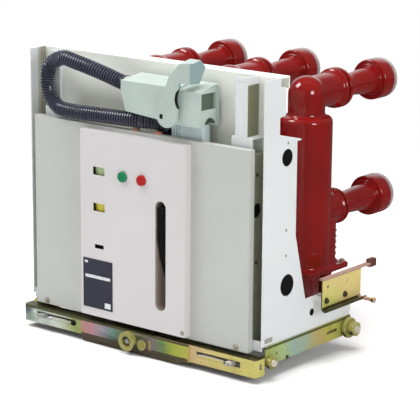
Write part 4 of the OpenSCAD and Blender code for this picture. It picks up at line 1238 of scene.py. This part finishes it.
class BREAKER_OT_stage(bpy.types.Operator):
    """Floor, light and camera"""

    bl_idname = "breaker.stage"
    bl_label = "Set the stage"

    def execute(self, context):
        stage = context.scene.breaker_stage
        self.floor(stage.floor_lift, stage.mirror_floor)
        self.sky(stage.sky, stage.mirror_sky)
        target = Vector(stage.target)
        self.lamp("front_lamp", (-2.31, -1.6, 3.77), 1.8, stage.front_power, target)
        self.lamp("side_lamp", (3.95, -0.9, 1.65), 1.25, stage.side_power, target)
        self.lamp("top_lamp", (0.2, 0.2, 4.2), 2.4, stage.top_power, target).visible_glossy = False
        self.camera(context, stage)
        context.scene.view_settings.view_transform = "Standard"
        return {"FINISHED"}

    def floor(self, lift, mirrored):
        """A pale floor that fades into the background."""
        size = 12.0
        mesh = bpy.data.meshes.new("floor")
        mesh.from_pydata([(-size, -size, 0), (size, -size, 0), (size, size, 0), (-size, size, 0)], [],
            [(0, 1, 2, 3)])
        obj = linked("floor", mesh)
        obj.location.z = -0.0005
        look, net, shader = new_material("pale_floor")
        place = net.place()
        tone = net.mix(net.spread(net.noise(place, 3.0, 3.0), 0.3, 0.7), rgba((0.93,) * 3), rgba((0.90,) * 3))
        rays = net.add("ShaderNodeLightPath").outputs
        paler = net.mix(1.0, tone, rgba((lift,) * 3), "MULTIPLY")
        duller = net.mix(1.0, tone, rgba((mirrored,) * 3), "MULTIPLY")
        tone = net.mix(rays["Is Glossy Ray"], net.mix(rays["Is Camera Ray"], tone, paler), duller)
        net.join(tone, shader.inputs["Base Color"])
        set_sockets(shader, {"Roughness": 0.9, "Specular_IOR_Level": 0.0})
        away = net.add("ShaderNodeVectorMath", {0: place}, operation="LENGTH").outputs["Value"]
        fade = net.math("MULTIPLY", net.spread(away, 0.9, 2.4), rays["Is Camera Ray"])
        white = net.add("ShaderNodeEmission", {"Color": (1, 1, 1, 1), "Strength": 1.0})
        blend = net.add("ShaderNodeMixShader", {0: fade, 1: shader.outputs[0], 2: white.outputs[0]})
        net.join(blend.outputs[0], net.tree.nodes["Material Output"].inputs["Surface"])
        mesh.materials.append(look)

    def sky(self, strength, mirrored):
        """Even light, white where the camera sees past the floor, and pale only behind in a reflection."""
        world = bpy.data.worlds.new("studio")
        bpy.context.scene.world = world
        world.use_nodes = True
        net = Net(world.node_tree)
        shader = world.node_tree.nodes["Background"]
        rays = net.add("ShaderNodeLightPath").outputs
        backdrop = net.spread(net.dot(net.place(), BACKDROP), 0.78, 0.97, mirrored, 0.8)
        level = net.spread(rays["Is Glossy Ray"], 0.0, 1.0, strength, backdrop)
        net.join(net.math("MAXIMUM", level, rays["Is Camera Ray"]), shader.inputs["Strength"])
        set_sockets(shader, {"Color": (1.0, 1.0, 1.0, 1.0)})

    def lamp(self, name, place, size, power, target):
        """A square soft lamp that faces the target."""
        data = bpy.data.lights.new(name, "AREA")
        data.energy = power
        data.size = size
        obj = linked(name, data)
        obj.location = place
        obj.rotation_euler = (target - Vector(place)).to_track_quat("-Z", "Y").to_euler()
        return obj

    def camera(self, context, stage):
        """The camera, turned about the target."""
        data = bpy.data.cameras.new("camera")
        data.lens = stage.lens
        data.sensor_width = 36.0
        data.clip_end = 60.0
        obj = linked("camera", data)
        a, e = stage.azimuth, stage.elevation
        back = Vector((math.sin(a) * math.cos(e), -math.cos(a) * math.cos(e), math.sin(e)))
        turn = (-back).to_track_quat("-Z", "Y").to_matrix().to_4x4() @ Matrix.Rotation(stage.roll, 4, "Z")
        obj.matrix_world = Matrix.Translation(Vector(stage.target) + back * stage.distance) @ turn
        context.scene.camera = obj


class BREAKER_PT_panel(bpy.types.Panel):
    """Lists the breaker's settings and operators"""

    bl_idname = "BREAKER_PT_panel"
    bl_label = "Circuit Breaker"
    bl_space_type = "VIEW_3D"
    bl_region_type = "UI"
    bl_category = "Breaker"

    def draw(self, context):
        for name, group in GROUPS.items():
            box = self.layout.box()
            for key in group.__annotations__:
                box.prop(getattr(context.scene, name), key)
        for operator in OPERATORS:
            self.layout.operator(operator.bl_idname)


GROUPS = {"breaker_finishes": BreakerFinishes, "breaker_sizes": BreakerSizes, "breaker_stage": BreakerStage}
OPERATORS = [BREAKER_OT_stage, BREAKER_OT_castings, BREAKER_OT_hose, BREAKER_OT_frame_sheets,
    BREAKER_OT_facia, BREAKER_OT_plug, BREAKER_OT_contacts, BREAKER_OT_truck, BREAKER_OT_fasteners]


def register():
    """Registers the property groups, operators and panel."""
    for name, group in GROUPS.items():
        bpy.utils.register_class(group)
        setattr(bpy.types.Scene, name, bpy.props.PointerProperty(type=group))
    for cls in (*OPERATORS, BREAKER_PT_panel):
        bpy.utils.register_class(cls)


def unregister():
    """Removes what register added."""
    for cls in (BREAKER_PT_panel, *reversed(OPERATORS)):
        bpy.utils.unregister_class(cls)
    for name, group in GROUPS.items():
        delattr(bpy.types.Scene, name)
        bpy.utils.unregister_class(group)


def main():
    """Builds every piece."""
    register()
    for operator in OPERATORS:
        area, call = operator.bl_idname.split(".")
        getattr(getattr(bpy.ops, area), call)()


if __name__ == "__main__":
    main()
